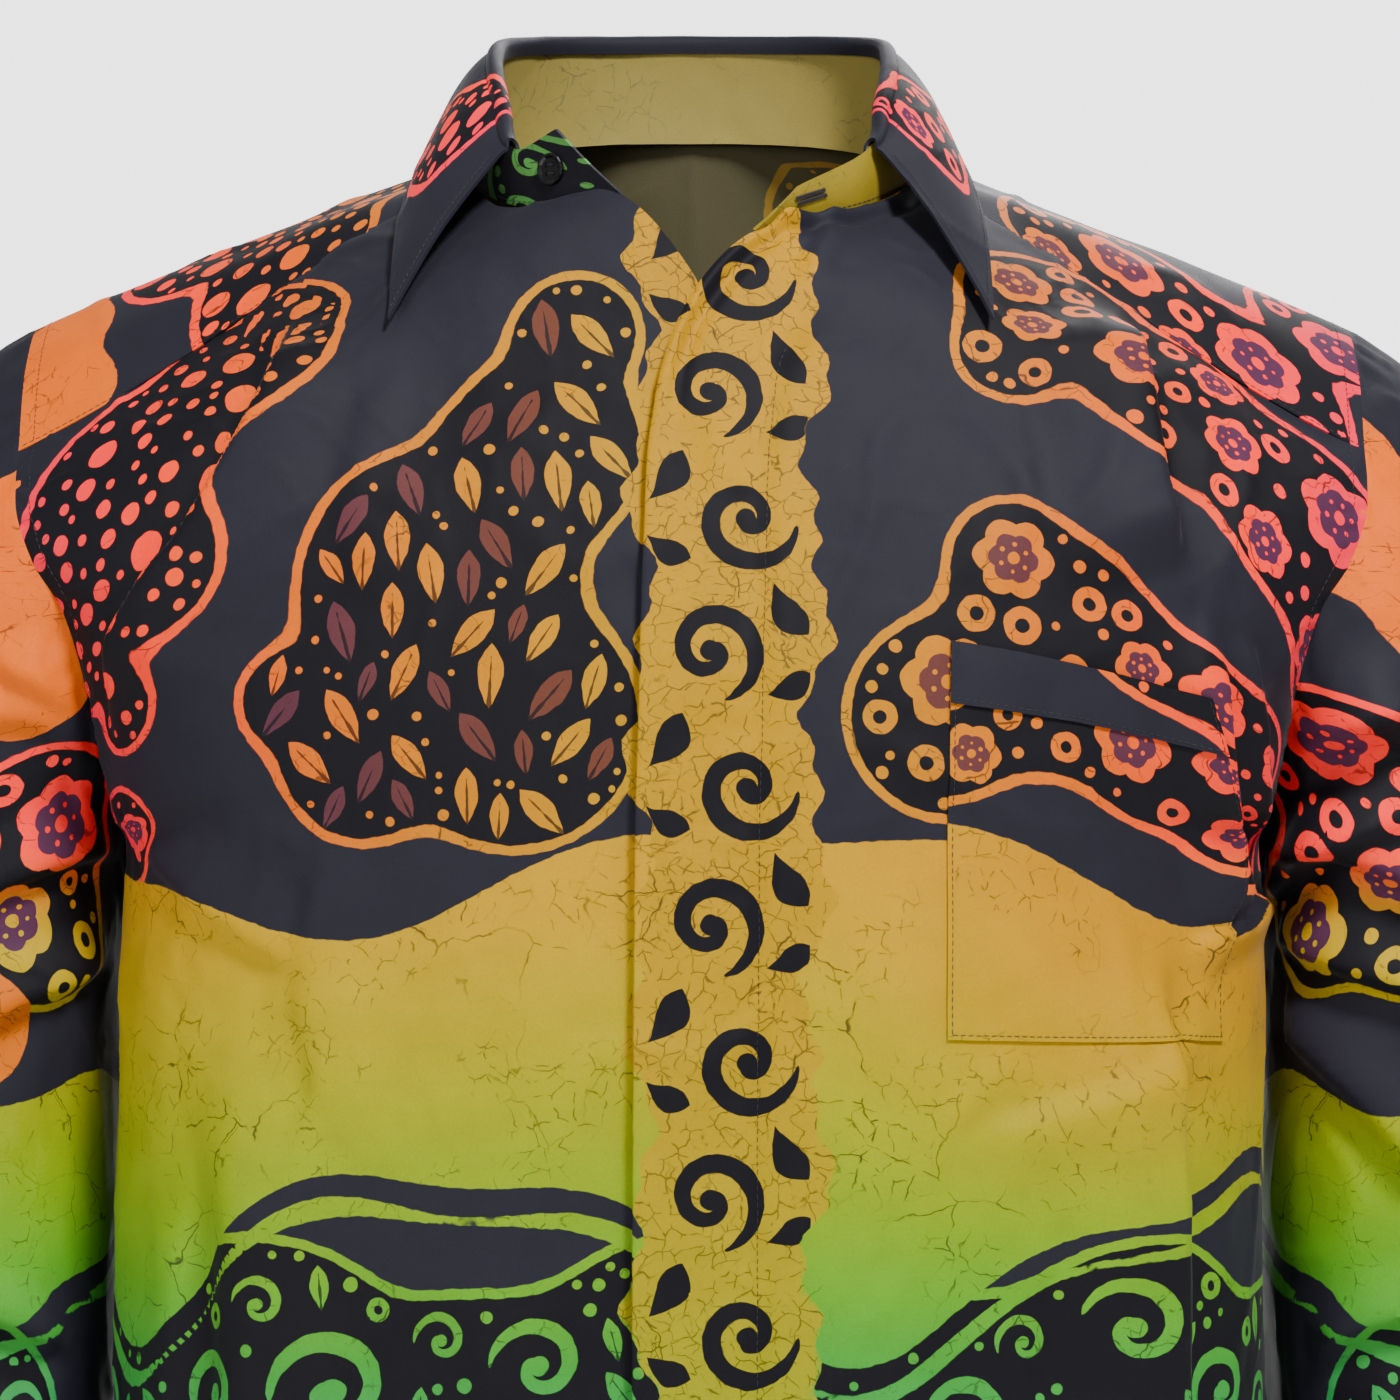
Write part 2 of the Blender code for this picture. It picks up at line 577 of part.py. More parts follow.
def sleeve_grid():
    """Rings from the armhole down to the cuff. The first and last column are the same line,
    which is the slit above the cuff."""
    loop = armhole()
    under = BACK_NAMES.index("underarm")
    reach = [0.0]
    for before, after in zip(loop, loop[1:]):
        reach.append(reach[-1] + (after - before).length)
    turns = [(here - reach[under]) / reach[-1] for here in reach]
    biceps = SLEEVE_ROWS[0]
    grid = []
    for step in range(CAP_STEPS + 1):
        t = step / CAP_STEPS
        ring = []
        for edge, turn in zip(loop, turns):
            top = (1 - math.cos(2 * math.pi * turn)) / 2
            lead = CAP_LEAD_UNDER + (CAP_LEAD_TOP - CAP_LEAD_UNDER) * top
            arrive = CAP_ARRIVE_UNDER + (CAP_ARRIVE_TOP - CAP_ARRIVE_UNDER) * top
            leave = Vector((.30 + .60 * top, 0, -.95 + .52 * top)).normalized()
            end = ring_point(Vector(biceps.centre), biceps.half_width, biceps.half_depth, turn)
            start = edge + leave * SLEEVE_OFF
            control = (start, start + leave * lead, end + Vector((0, 0, arrive)), end)
            ring.append(bezier(control, t))
        grid.append(ring)
    columns = [[Vector(row.centre) for row in SLEEVE_ROWS],
               [row.half_width for row in SLEEVE_ROWS],
               [row.half_depth for row in SLEEVE_ROWS]]
    for v in stations(SLEEVE_ROWS)[1:]:
        centre, width, depth = (smooth(column, v) for column in columns)
        grid.append([ring_point(centre, width, depth, turn) for turn in turns])
    for ring in grid[-VENT_RINGS:]:
        apart = (ring[1] - ring[-2]).normalized() * VENT_HALF
        ring[0], ring[-1] = ring[0] + apart, ring[-1] - apart
    return grid, turns[0]


def cuff_grid(vent_turn):
    """A strip round the wrist whose end laps over its start at the slit."""
    wrist = Vector(SLEEVE_ROWS[-1].centre)
    lean = Vector(SLEEVE_ROWS[-1].centre) - Vector(SLEEVE_ROWS[-2].centre)
    lean = lean / -lean.z
    grid = []
    for down in (CUFF_LENGTH, CUFF_LENGTH / 2, 0):
        centre = wrist + lean * (down + GAP)
        line = []
        for k in range(CUFF_FACETS + CUFF_LAP + 1):
            turn = vent_turn + (k - CUFF_LAP) / CUFF_FACETS
            lapped = ease((k - CUFF_FACETS + 2) / 2) * (COLLAR_WALL + 2 * GAP)
            line.append(ring_point(centre, CUFF_HALF_WIDTH + lapped,
                                   CUFF_HALF_DEPTH + lapped, turn))
        grid.append(line)
    return grid


def make_sleeves(group):
    grid, vent_turn = sleeve_grid()
    cuff = cuff_grid(vent_turn)
    for side, mirrored in (("left", False), ("right", True)):
        sheet(f"sleeve_{side}", grid[::-1], WALL, group, mirrored=mirrored, weld_ends=True)
        sheet(f"cuff_{side}", cuff, COLLAR_WALL, group, mirrored=mirrored)
    return cuff


# ---- buttons ----------------------------------------------------------------------------------
def button_profile():
    """Half a button's outline, from the middle of its face round the rim to its back."""
    rim = BUTTON_RADIUS - BUTTON_RIM
    outline = (
        (0, BUTTON_THICK - BUTTON_DISH),
        (rim - BUTTON_RIM, BUTTON_THICK - BUTTON_DISH),
        (rim, BUTTON_THICK),
        (BUTTON_RADIUS - BUTTON_RIM / 3, BUTTON_THICK),
        (BUTTON_RADIUS, BUTTON_THICK * .75),
        (BUTTON_RADIUS, BUTTON_THICK * .3),
        (rim, 0),
        (0, 0),
    )
    shape = bmesh.new()
    verts = [shape.verts.new((x, 0, z)) for x, z in outline]
    for pair in zip(verts, verts[1:]):
        shape.edges.new(pair)
    mesh = bpy.data.meshes.new("button profile")
    shape.to_mesh(mesh)
    shape.free()
    return mesh


def hole_cutter(cutters):
    """Four pegs that drill a button's holes."""
    shape = bmesh.new()
    for x in (-HOLE_OFFSET, HOLE_OFFSET):
        for y in (-HOLE_OFFSET, HOLE_OFFSET):
            bmesh.ops.create_cone(shape, cap_ends=True, segments=8, radius1=HOLE_RADIUS,
                                  radius2=HOLE_RADIUS, depth=4 * BUTTON_THICK,
                                  matrix=Matrix.Translation((x, y, 0)))
    mesh = bpy.data.meshes.new("hole cutter")
    shape.to_mesh(mesh)
    shape.free()
    cutter = bpy.data.objects.new("hole_cutter", mesh)
    cutters.objects.link(cutter)
    cutter.hide_render = True
    cutter.display_type = "WIRE"
    return cutter


def drilled_button(cutters):
    """The button's mesh with its holes cut, shared by every button."""
    plain = bpy.data.objects.new("plain_button", button_profile())
    cutters.objects.link(plain)
    turned = plain.modifiers.new("turned", "SCREW")
    turned.steps = turned.render_steps = BUTTON_FACETS
    turned.use_merge_vertices = True
    turned.merge_threshold = .00001
    cut = plain.modifiers.new("holes", "BOOLEAN")
    cut.operation = "DIFFERENCE"
    cut.object = hole_cutter(cutters)
    bpy.context.view_layer.update()
    evaluated = plain.evaluated_get(bpy.context.evaluated_depsgraph_get())
    mesh = bpy.data.meshes.new_from_object(evaluated)
    mesh.name = "four_hole_button"
    bpy.data.objects.remove(plain, do_unlink=True)
    mesh.shade_smooth()
    return mesh


def place_button(name, mesh, point, outward, group):
    """Seat a button's back on a point, facing outward."""
    thing = link(name, mesh.copy(), group, "dark_plastic")
    thing.location = point
    thing.rotation_euler = outward.to_track_quat("Z", "Y").to_euler()
    return thing


def facing(points, outward):
    """The unit normal of three points, on the side of `outward`."""
    a, b, c = points
    normal = (b - a).cross(c - a).normalized()
    return normal if normal.dot(outward) > 0 else -normal


def make_buttons(group, cutters, cuff):
    mesh = drilled_button(cutters)
    form = front_form(False)
    for k in range(FRONT_BUTTONS):
        v = form.row_at(FIRST_BUTTON_Z - BUTTON_PITCH * k, 0)
        place_button(f"button_front_{k + 1}", mesh, form.point(v, 0, GAP), form.normal(v, 0), group)
    (foot, top, _), (next_foot, next_top, _) = collar_columns()[:2]
    part = COLLAR_BUTTON_ALONG
    bottom, upper = foot.lerp(next_foot, part), top.lerp(next_top, part)
    along = (next_foot + next_top) - (foot + top)
    outward = facing((Vector(), along, upper - bottom), Vector((0, -1, 0)))
    seat = bottom.lerp(upper, .5) + outward * COLLAR_BUTTON_LIFT
    place_button("button_collar", mesh, seat, outward, group)
    lap = [line[-2] for line in cuff]
    outward = facing((lap[0], lap[2], cuff[1][-1]), Vector((1, 1, 0)))
    seat = lap[1].lerp(cuff[1][-1], .5) + outward * GAP
    for name, side in (("button_cuff_left", 1), ("button_cuff_right", -1)):
        mirror = Vector((side, 1, 1))
        place_button(name, mesh, seat * mirror, outward * mirror, group)


def main():
    clear_scene()
    shirt = collection("batik_shirt")
    cutters = collection("cutters")
    make_fronts(shirt)
    make_fly(shirt)
    make_pocket(shirt)
    make_yoke_and_back(shirt)
    make_collar(shirt)
    cuff = make_sleeves(shirt)
    make_buttons(shirt, cutters, cuff)


main()
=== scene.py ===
# %% [markdown]
# # A batik shirt, filled out as when worn
#
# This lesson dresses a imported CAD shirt. The CAD part gives the true form and the seams. Here every
# cloth piece becomes a fine thin shell on that same form, with creases, stitches and a wax-resist
# print. The wearer's left is +X and the front faces -Y.

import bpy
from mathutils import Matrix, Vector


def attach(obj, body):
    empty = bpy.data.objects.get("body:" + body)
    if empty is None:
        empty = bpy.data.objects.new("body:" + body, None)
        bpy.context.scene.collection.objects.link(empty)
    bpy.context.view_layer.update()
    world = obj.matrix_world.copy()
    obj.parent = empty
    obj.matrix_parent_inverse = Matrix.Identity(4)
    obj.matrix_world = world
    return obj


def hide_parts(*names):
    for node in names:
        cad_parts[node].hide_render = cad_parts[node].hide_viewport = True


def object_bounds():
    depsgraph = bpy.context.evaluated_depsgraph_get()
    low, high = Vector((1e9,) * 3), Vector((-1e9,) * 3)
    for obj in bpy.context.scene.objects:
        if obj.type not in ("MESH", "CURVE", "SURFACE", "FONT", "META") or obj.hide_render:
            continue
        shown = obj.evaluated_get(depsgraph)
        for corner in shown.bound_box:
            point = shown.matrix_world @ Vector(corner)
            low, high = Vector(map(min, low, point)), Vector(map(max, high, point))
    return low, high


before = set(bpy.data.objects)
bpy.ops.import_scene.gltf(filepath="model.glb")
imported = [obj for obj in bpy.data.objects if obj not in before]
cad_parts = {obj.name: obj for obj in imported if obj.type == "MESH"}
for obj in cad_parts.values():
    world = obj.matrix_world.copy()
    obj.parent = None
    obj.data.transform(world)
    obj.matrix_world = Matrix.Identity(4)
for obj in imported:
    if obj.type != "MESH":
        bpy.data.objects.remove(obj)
cad_low, cad_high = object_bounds()
print("frame", [round(high - low, 3) for low, high in zip(cad_low, cad_high)])

# %% [markdown]
# ## Tools
#
# Cloth needs many points, so the forms are worked out with numpy arrays, whole rows at a time.
# Everything is deselected first, because the loaded frame is still selected.

# %% Bring in the tools
import math
from collections import namedtuple

import bpy
import numpy as np
from mathutils import Matrix, Vector, noise

bpy.ops.object.select_all(action="DESELECT")
print("numpy", np.__version__)

# %% [markdown]
# ## Camera, light and floor
#
# A shirt like this is shown straight on, a little below the collar, with a long lens so that the
# chest doesn't bulge. The key lamp stands above and to one side and is small for a studio lamp, so
# that the folds keep enough shade to read them. A broad lamp fills them in, and one behind lifts the
# shoulders off the background.

# %% Set the camera
CAMERA_PLACE = (0.003, -1.5, -0.192)
LENS = 104.14

camera_data = bpy.data.cameras.new("studio_camera")
camera_data.sensor_width = 36
camera_data.lens = LENS
camera = bpy.data.objects.new("studio_camera", camera_data)
camera.location = CAMERA_PLACE
camera.rotation_euler = (math.radians(90), 0, 0)
bpy.context.scene.collection.objects.link(camera)
bpy.context.scene.camera = camera
print("camera", CAMERA_PLACE, "lens", LENS)

# %% Set the lamps
Lamp = namedtuple("Lamp", "name place size power")
LAMPS = (
    Lamp("key", (0.72, -1.45, 1.62), 0.5, 138),
    Lamp("fill", (-1.6, -2.0, 0.4), 1.8, 52),
    Lamp("back_light", (0.5, 1.9, 1.3), 1.6, 62),
)
AIM = (0, 0, -0.25)
for lamp in LAMPS:
    data = bpy.data.lights.new(lamp.name, "AREA")
    data.shape = "DISK"
    data.size = lamp.size
    data.energy = lamp.power
    light = bpy.data.objects.new(lamp.name, data)
    light.location = lamp.place
    aim = Vector(AIM) - Vector(lamp.place)
    light.rotation_euler = aim.to_track_quat("-Z", "Y").to_euler()
    bpy.context.scene.collection.objects.link(light)

print("lamps", [lamp.name for lamp in LAMPS])

# %% [markdown]
# The world gives the rest of the light. It is dim all round, so that the folds keep their shade, and
# bright only straight behind the shirt, as a white paper wall would be.

# %% Light the world
ROUND_LIGHT, WALL_LIGHT = .38, 3.2
WALL_EDGE, WALL_FULL = .86, .96

world = bpy.data.worlds.new("studio")
world.use_nodes = True
nodes, wires = world.node_tree.nodes, world.node_tree.links
direction = nodes.new("ShaderNodeTexCoord")
split = nodes.new("ShaderNodeSeparateXYZ")
wall = nodes.new("ShaderNodeMapRange")
wall.interpolation_type = "SMOOTHSTEP"
for socket, number in (("From Min", WALL_EDGE), ("From Max", WALL_FULL),
                       ("To Min", ROUND_LIGHT), ("To Max", WALL_LIGHT)):
    wall.inputs[socket].default_value = number
wires.new(direction.outputs["Generated"], split.inputs[0])
wires.new(split.outputs["Y"], wall.inputs["Value"])
nodes["Background"].inputs["Color"].default_value = (1, 1, 1, 1)
wires.new(wall.outputs["Result"], nodes["Background"].inputs["Strength"])
bpy.context.scene.world = world
print("world light", ROUND_LIGHT, "to", WALL_LIGHT)

# %% Lay the floor
FLOOR_SIZE = 14
FLOOR_BELOW = 0.004

bpy.ops.mesh.primitive_plane_add(size=FLOOR_SIZE)
floor = bpy.context.object
floor.name = "floor"
floor.data.transform(Matrix.Translation((0, 0, cad_low.z - FLOOR_BELOW)))
paper = bpy.data.materials.new("pale_paper")
paper.use_nodes = True
shader = paper.node_tree.nodes["Principled BSDF"]
shader.inputs["Base Color"].default_value = (.86, .86, .86, 1)
shader.inputs["Roughness"].default_value = .9
floor.data.materials.append(paper)
print("floor at", round(cad_low.z - FLOOR_BELOW, 3))

# %% [markdown]
# ## The shirt's form as rows
#
# A worn shirt is a set of curved panels. Each panel could be sculpted, but then its seams would
# drift away from its neighbours. Instead each panel is lofted through rows. A row is a cubic Bezier
# across the cloth, and a smooth curve through the rows gives every row between them. Panels that
# are sewn together share the points of their seam.

# %% Curves
def smooth(values, at):
    """The value at row number `at` of a smooth curve through equally spaced rows."""
    last = len(values) - 1
    i = min(int(at), last - 1)
    t = at - i
    here, there = values[i], values[i + 1]
    leave = (there - values[i - 1]) * .5 if i else there - here
    arrive = (values[i + 2] - here) * .5 if i + 2 <= last else there - here
    t2, t3 = t * t, t * t * t
    return ((2 * t3 - 3 * t2 + 1) * here + (t3 - 2 * t2 + t) * leave
            + (3 * t2 - 2 * t3) * there + (t3 - t2) * arrive)


def ease(t):
    """0 to 1 with level ends."""
    t = np.clip(t, 0.0, 1.0)
    return t * t * (3 - 2 * t)


def unit(vectors):
    return vectors / np.maximum(np.linalg.norm(vectors, axis=-1, keepdims=True), 1e-12)


def smooth_all(values, numbers):
    return np.array([smooth(values, number) for number in numbers])


def lengths(points):
    """The distance from the first point to each point along a line of points."""
    return np.concatenate([[0.0], np.cumsum(np.linalg.norm(np.diff(points, axis=0), axis=1))])


def read_at(at, reach, line):
    """Points read off a line at some distances, where reach gives the distance of its own points."""
    return np.stack([np.interp(at, reach, line[:, k]) for k in range(line.shape[1])], axis=-1)


def bezier(t, a, b, c, d):
    s = 1 - t
    return s**3 * a + 3 * s * s * t * b + 3 * s * t * t * c + t**3 * d


class Form:
    """A surface lofted through rows, read by row number and by distance along the row."""

    SAMPLES = np.linspace(0, 1, 97)[:, None]

    def __init__(self, rows):
        self.names = [row[0] for row in rows]
        self.controls = np.array([row[-4:] for row in rows], float)
        self.last = len(rows) - 1
        self.kept = {}

    def number(self, name):
        return self.names.index(name)

    def curve(self, v):
        """Points along row v, and how far along it each one is."""
        v = min(max(float(v), 0.0), float(self.last))
        if v not in self.kept:
            points = bezier(self.SAMPLES, *smooth(self.controls, v))
            self.kept[v] = points, lengths(points)
        return self.kept[v]

    def length(self, v):
        return self.curve(v)[1][-1]

    def line(self, v, distances):
        """Points at these distances along row v. Below 0 they run on past the centre."""
        points, reach = self.curve(v)
        line = read_at(np.abs(distances), reach, points)
        line[:, 0] = np.where(np.asarray(distances) < 0, 2 * points[0, 0] - line[:, 0], line[:, 0])
        return line

    def even_rows(self, low, high, pitch, distance=.10):
        """Row numbers from low to high, about `pitch` metres apart down the panel."""
        tries = np.linspace(low, high, 400)
        path = np.array([self.line(v, np.array([distance]))[0] for v in tries])
        reach = lengths(path)
        count = max(2, round(reach[-1] / pitch) + 1)
        return np.interp(np.linspace(0, reach[-1], count), reach, tries)


print("one Bezier row is read at", len(Form.SAMPLES), "points")

# %% [markdown]
# The tables give one line for each row: the four control points of its Bezier, from the centre
# front, the neck or the centre back out to the side seam or the armhole.

# %% Rows of the fronts, yoke and back
FRONT_ROWS = (
    ("hem", (0, -.152, -.740), (.120, -.153, -.740), (.226, -.122, -.740), (.212, .008, -.740)),
    ("waist", (0, -.152, -.450), (.118, -.153, -.450), (.222, -.120, -.450), (.207, 0, -.450)),
    ("chest", (0, -.151, -.304), (.118, -.152, -.306), (.220, -.118, -.312), (.206, 0, -.315)),
    ("rib", (0, -.150, -.262), (.116, -.151, -.265), (.218, -.117, -.272), (.2053, 0, -.275)),
    ("underarm", (0, -.148, -.232), (.114, -.149, -.235), (.216, -.116, -.243), (.205, 0, -.245)),
    ("arm_1", (0, -.145, -.203), (.108, -.147, -.208), (.213, -.122, -.226), (.2075, -.030, -.237)),
    ("arm_2", (0, -.139, -.167), (.102, -.143, -.173), (.207, -.126, -.196), (.2105, -.054, -.216)),
    ("arm_3", (0, -.130, -.132), (.096, -.136, -.141), (.200, -.126, -.172), (.214, -.070, -.187)),
    ("arm_4", (0, -.119, -.098), (.090, -.126, -.110), (.192, -.122, -.148), (.221, -.077, -.161)),
    ("vee", (0, -.105, -.063), (.078, -.112, -.080), (.184, -.114, -.128), (.231, -.076, -.145)),
    ("stand", (0, -.090, -.022), (.072, -.096, -.042), (.176, -.104, -.106), (.238, -.070, -.128)),
    ("neck", (.061, -.062, -.017), (.098, -.075, -.031), (.172, -.086, -.087), (.240, -.062, -.115)),
    ("yoke_seam", (.080, -.027, -.005), (.118, -.044, -.018), (.170, -.062, -.070),
     (.2405, -.053, -.103)),
)
# The wearer's right front opens a little higher at the neck.
RIGHT_STAND_ROW = ("stand", (0, -.084, -.006), (.070, -.092, -.032), (.176, -.104, -.106),
                   (.238, -.070, -.128))
# Where the front edge lies on each row, from the centre front. The left front laps over.
EDGE_LEFT = np.array((-.019, -.019, -.0185, -.0182, -.018, -.0172, -.0165, -.0155, -.0135, -.005,
                      .023, 0, 0))
EDGE_RIGHT = np.array((-.018,) * 9 + (-.010, .026, 0, 0))
YOKE_ROWS = (
    FRONT_ROWS[-1],
    ("before_ridge", (.082, -.014, .001), (.124, -.024, -.009), (.183, -.032, -.046),
     (.2425, -.028, -.074)),
    ("ridge", (.080, 0, .006), (.125, 0, -.008), (.195, 0, -.033), (.243, 0, -.055)),
    ("behind_ridge", (.075, .022, .014), (.122, .027, .002), (.190, .024, -.034),
     (.243, .018, -.060)),
    ("back_neck_1", (.058, .046, .021), (.110, .058, .001), (.186, .050, -.042),
     (.2425, .032, -.071)),
    ("back_neck_2", (.032, .061, .025), (.088, .078, -.008), (.180, .074, -.055),
     (.242, .042, -.081)),
    ("centre_neck", (0, .066, .026), (.052, .079, .000), (.174, .092, -.070), (.2415, .050, -.091)),
    ("centre", (0, .086, -.034), (.074, .093, -.036), (.178, .101, -.082), (.241, .055, -.100)),
    ("back_seam", (0, .101, -.096), (.090, .105, -.096), (.184, .106, -.104), (.240, .059, -.108)),
)
BACK_ROWS = (
    YOKE_ROWS[-1],
    ("arm_6", (0, .108, -.121), (.090, .113, -.121), (.182, .112, -.129), (.236, .068, -.131)),
    ("arm_5", (0, .113, -.144), (.092, .119, -.144), (.182, .116, -.151), (.230, .072, -.154)),
    ("arm_4", (0, .117, -.167), (.096, .123, -.167), (.186, .117, -.173), (.222, .070, -.177)),
    ("arm_3", (0, .121, -.189), (.100, .126, -.189), (.194, .114, -.197), (.214, .060, -.200)),
    ("arm_2", (0, .123, -.210), (.104, .128, -.210), (.202, .110, -.218), (.2085, .043, -.222)),
    ("arm_1", (0, .125, -.228), (.108, .129, -.228), (.206, .104, -.235), (.206, .022, -.238)),
    ("underarm", (0, .126, -.245), (.110, .130, -.245), (.208, .099, -.245), (.205, 0, -.245)),
    ("rib", (0, .127, -.275), (.110, .131, -.275), (.208, .099, -.275), (.2053, 0, -.275)),
    ("chest", (0, .126, -.315), (.110, .129, -.315), (.206, .098, -.315), (.206, 0, -.315)),
    ("waist", (0, .119, -.450), (.108, .122, -.450), (.206, .094, -.450), (.207, 0, -.450)),
    ("hem", (0, .130, -.740), (.112, .133, -.740), (.214, .104, -.740), (.212, .008, -.740)),
)
left_form = Form(FRONT_ROWS)
right_form = Form([RIGHT_STAND_ROW if row[0] == "stand" else row for row in FRONT_ROWS])
yoke_form = Form(YOKE_ROWS)
back_form = Form(BACK_ROWS)
print("rows:", len(FRONT_ROWS), "front,", len(YOKE_ROWS), "yoke,", len(BACK_ROWS), "back")

# %% [markdown]
# ## From a grid of points to a piece of cloth
#
# Blender's grid primitive has the topology of a woven sheet. Its points are moved onto the form, and
# a Solidify wall gives it the thickness of shirting, laid inwards so that the face stays where the
# form is. The flat position of every point on the uncut cloth is kept in a UV map named "cut", in
# metres, so that the print and the weave keep their real scale.

# %% Normals, seams and tucked edges
CLOTH_THICK = 0.0007
FINE = 0.0026
MEDIUM = 0.0031


def normals_of(points, upward=False):
    """Unit normals of a grid, all on the side away from the body, or all upward."""
    normals = unit(np.cross(np.gradient(points, axis=1), np.gradient(points, axis=0)))
    away = normals[..., 2] if upward else normals[..., :2] * points[..., :2]
    return normals if np.sum(away) > 0 else -normals


def ring_normals(points, tube=True):
    """Unit normals of a stack of rings, away from each ring's middle. A tube's ends meet."""
    if tube:
        wrapped = np.concatenate([points[:, -2:-1], points, points[:, 1:2]], axis=1)
        across = np.gradient(wrapped, axis=1)[:, 1:-1]
    else:
        across = np.gradient(points, axis=1)
    normals = unit(np.cross(across, np.gradient(points, axis=0)))
    away = points - points.mean(axis=1, keepdims=True)
    return normals if np.sum(normals * away) > 0 else -normals


def tucked(points, normals, side, reach=.004, depth=.0009):
    """One more row or column past a sewn edge, pushed under the neighbouring piece."""
    edge, beside = {"first": (0, 1), "last": (-1, -2)}[side[0]]
    axis = {"row": 0, "column": 1}[side[1]]
    here, there = points.take(edge, axis), points.take(beside, axis)
    under = here + unit(here - there) * reach - normals.take(edge, axis) * depth
    under, flat = np.expand_dims(under, axis), np.expand_dims(normals.take(edge, axis), axis)
    order = (lambda new, old: [new, old]) if edge == 0 else (lambda new, old: [old, new])
    return (np.concatenate(order(under, points), axis),
            np.concatenate(order(flat, normals), axis))


def cut_map(points, start_u=0.0, start_v=0.0, start_row=0, over=False):
    """Flat u, v of a grid on the uncut cloth: u runs across it and v runs up it, or over the top."""
    across = np.hypot(*np.moveaxis(np.diff(points[..., :2], axis=1), -1, 0))
    u = np.concatenate([np.zeros((len(points), 1)), np.cumsum(across, axis=1)], axis=1)
    step = np.diff(points[..., 1:], axis=0)
    up = np.hypot(step[..., 0], step[..., 1]) * (1 if over else np.sign(step[..., 1] + 1e-9))
    v = np.concatenate([np.zeros((1, points.shape[1])), np.cumsum(up, axis=0)])
    return np.stack([u + np.reshape(start_u, (-1, 1)), v - v[start_row] + start_v], axis=-1)


print("cloth", CLOTH_THICK * 1000, "mm thick, points", FINE * 1000, "to", MEDIUM * 1000, "mm apart")

# %% [markdown]
# ## Creases
#
# Creases on a worn shirt hang from where the cloth is held: the shoulder points, the armpits and
# the elbows. A simulation finds them too, but never the same ones as on a real shirt, so the main
# ones are listed one by one. Each is a smooth path with a soft side that stands proud and a short
# steep side that falls away, leaning over a little, the way a real fold overlaps itself.

# %% Crease tools
Crease = namedtuple("Crease", "path height proud steep lean")
# The share of a crease's length over which it rises at each end, and its trough beside its height.
CREASE_ENDS, TROUGH = .22, .22


def through(path, count=40):
    """A smooth line through a few corner points."""
    return smooth_all(np.array(path, float), np.linspace(0, len(path) - 1, count))


def off_path(x, z, path):
    """Signed distance from a path (positive on its left), and how far along it, 0 to 1."""
    line = through(path)
    best = np.full(x.shape, 9.0)
    side, along = np.zeros(x.shape), np.zeros(x.shape)
    for k, (a, b) in enumerate(zip(line, line[1:])):
        d = b - a
        t = np.clip(((x - a[0]) * d[0] + (z - a[1]) * d[1]) / (d @ d), 0, 1)
        off_x, off_z = x - a[0] - t * d[0], z - a[1] - t * d[1]
        far = np.hypot(off_x, off_z)
        closer = far < best
        best = np.where(closer, far, best)
        side = np.where(closer, d[0] * off_z - d[1] * off_x, side)
        along = np.where(closer, (k + t) / (len(line) - 1), along)
    return best * np.where(side < 0, -1, 1), along


def creased(points, normals, creases, x, z, held=1.0):
    """Lift the cloth at each crease and lean its crest over the steep side.

    x, z are the coordinates that the paths are drawn in, and held is 0 where the cloth is sewn.
    """
    right = unit(np.gradient(points, axis=1) / (np.gradient(x, axis=1) + 1e-9)[..., None])
    up = unit(np.cross(normals, right))
    up = up * np.sign(np.sum(up * np.gradient(points, axis=0) * np.gradient(z, axis=0)[..., None]))
    lift, lean = np.zeros(x.shape), np.zeros(points.shape)
    for crease in creases:
        off, along = off_path(x, z, crease.path)
        ends = ease(along / CREASE_ENDS) * ease((1 - along) / CREASE_ENDS)
        rise = np.where(off > 0, 1 - ease(off / crease.proud), 1 - ease(-off / crease.steep))
        trough = np.exp(-((off + crease.steep * 1.6) / crease.steep) ** 2)
        lift += crease.height * ends * (rise - TROUGH * trough)
        first, last = np.array(crease.path[0]), np.array(crease.path[-1])
        run = (last - first) / np.linalg.norm(last - first)
        toward = run[1] * right - run[0] * up
        crest = np.exp(-(off / (crease.steep * 1.4)) ** 2)
        lean += toward * (crease.lean * ends * crest)[..., None]
    held = np.asarray(held)
    return points + normals * (lift * held)[..., None] + lean * held[..., None]


def rumpled(points, normals, amount, size, stretch=(1, 1, 1), seed=0.0, held=1.0):
    """Soft uneven waves all over, with now and then a sharper line, as in worn cotton."""
    scaled = (points / size / np.asarray(stretch)).reshape(-1, 3) + seed
    waves = np.array([noise.noise(p) + .5 * noise.noise(p * 2.1) for p in map(Vector, scaled)])
    sharp = np.array([abs(noise.noise(p * .8)) for p in map(Vector, scaled + 31.7)])
    height = waves * .6 + np.exp(-(sharp / .07) ** 2) * .5
    return points + normals * (height.reshape(points.shape[:2]) * amount * held)[..., None]


def puckers(along, off_seam, pitch=.011, deep=.0005, reach=.010, seed=0.0):
    """Small ripples across a sewn edge, which die away from it."""
    wobble = np.sin(2 * np.pi * along / pitch + 2.2 * np.sin(along / pitch * 1.7 + seed))
    return deep * wobble * np.exp(-(off_seam / reach) ** 2) * ease(off_seam / .002)


print("crease tools ready")

# %% [markdown]
# ## The print as a drawing
#
# Batik is drawn in hot wax on the cloth and then dyed: where the wax was, the lines stay light. It
# could be painted as a picture, but a drawing made of measured shapes stays sharp at any distance.
# So the layout is worked out here on the flat cloth: clouds of discs are the bordered fields, and
# each field is sown with blossoms, rings, leaves or seeds that keep clear of each other.

# %% Dyes
def dye(code):
    """A linear colour from a paint code of six hex digits."""
    parts = [int(code[k:k + 2], 16) / 255 for k in (0, 2, 4)]
    return np.array([c / 12.92 if c < .04045 else ((c + .055) / 1.055) ** 2.4 for c in parts])


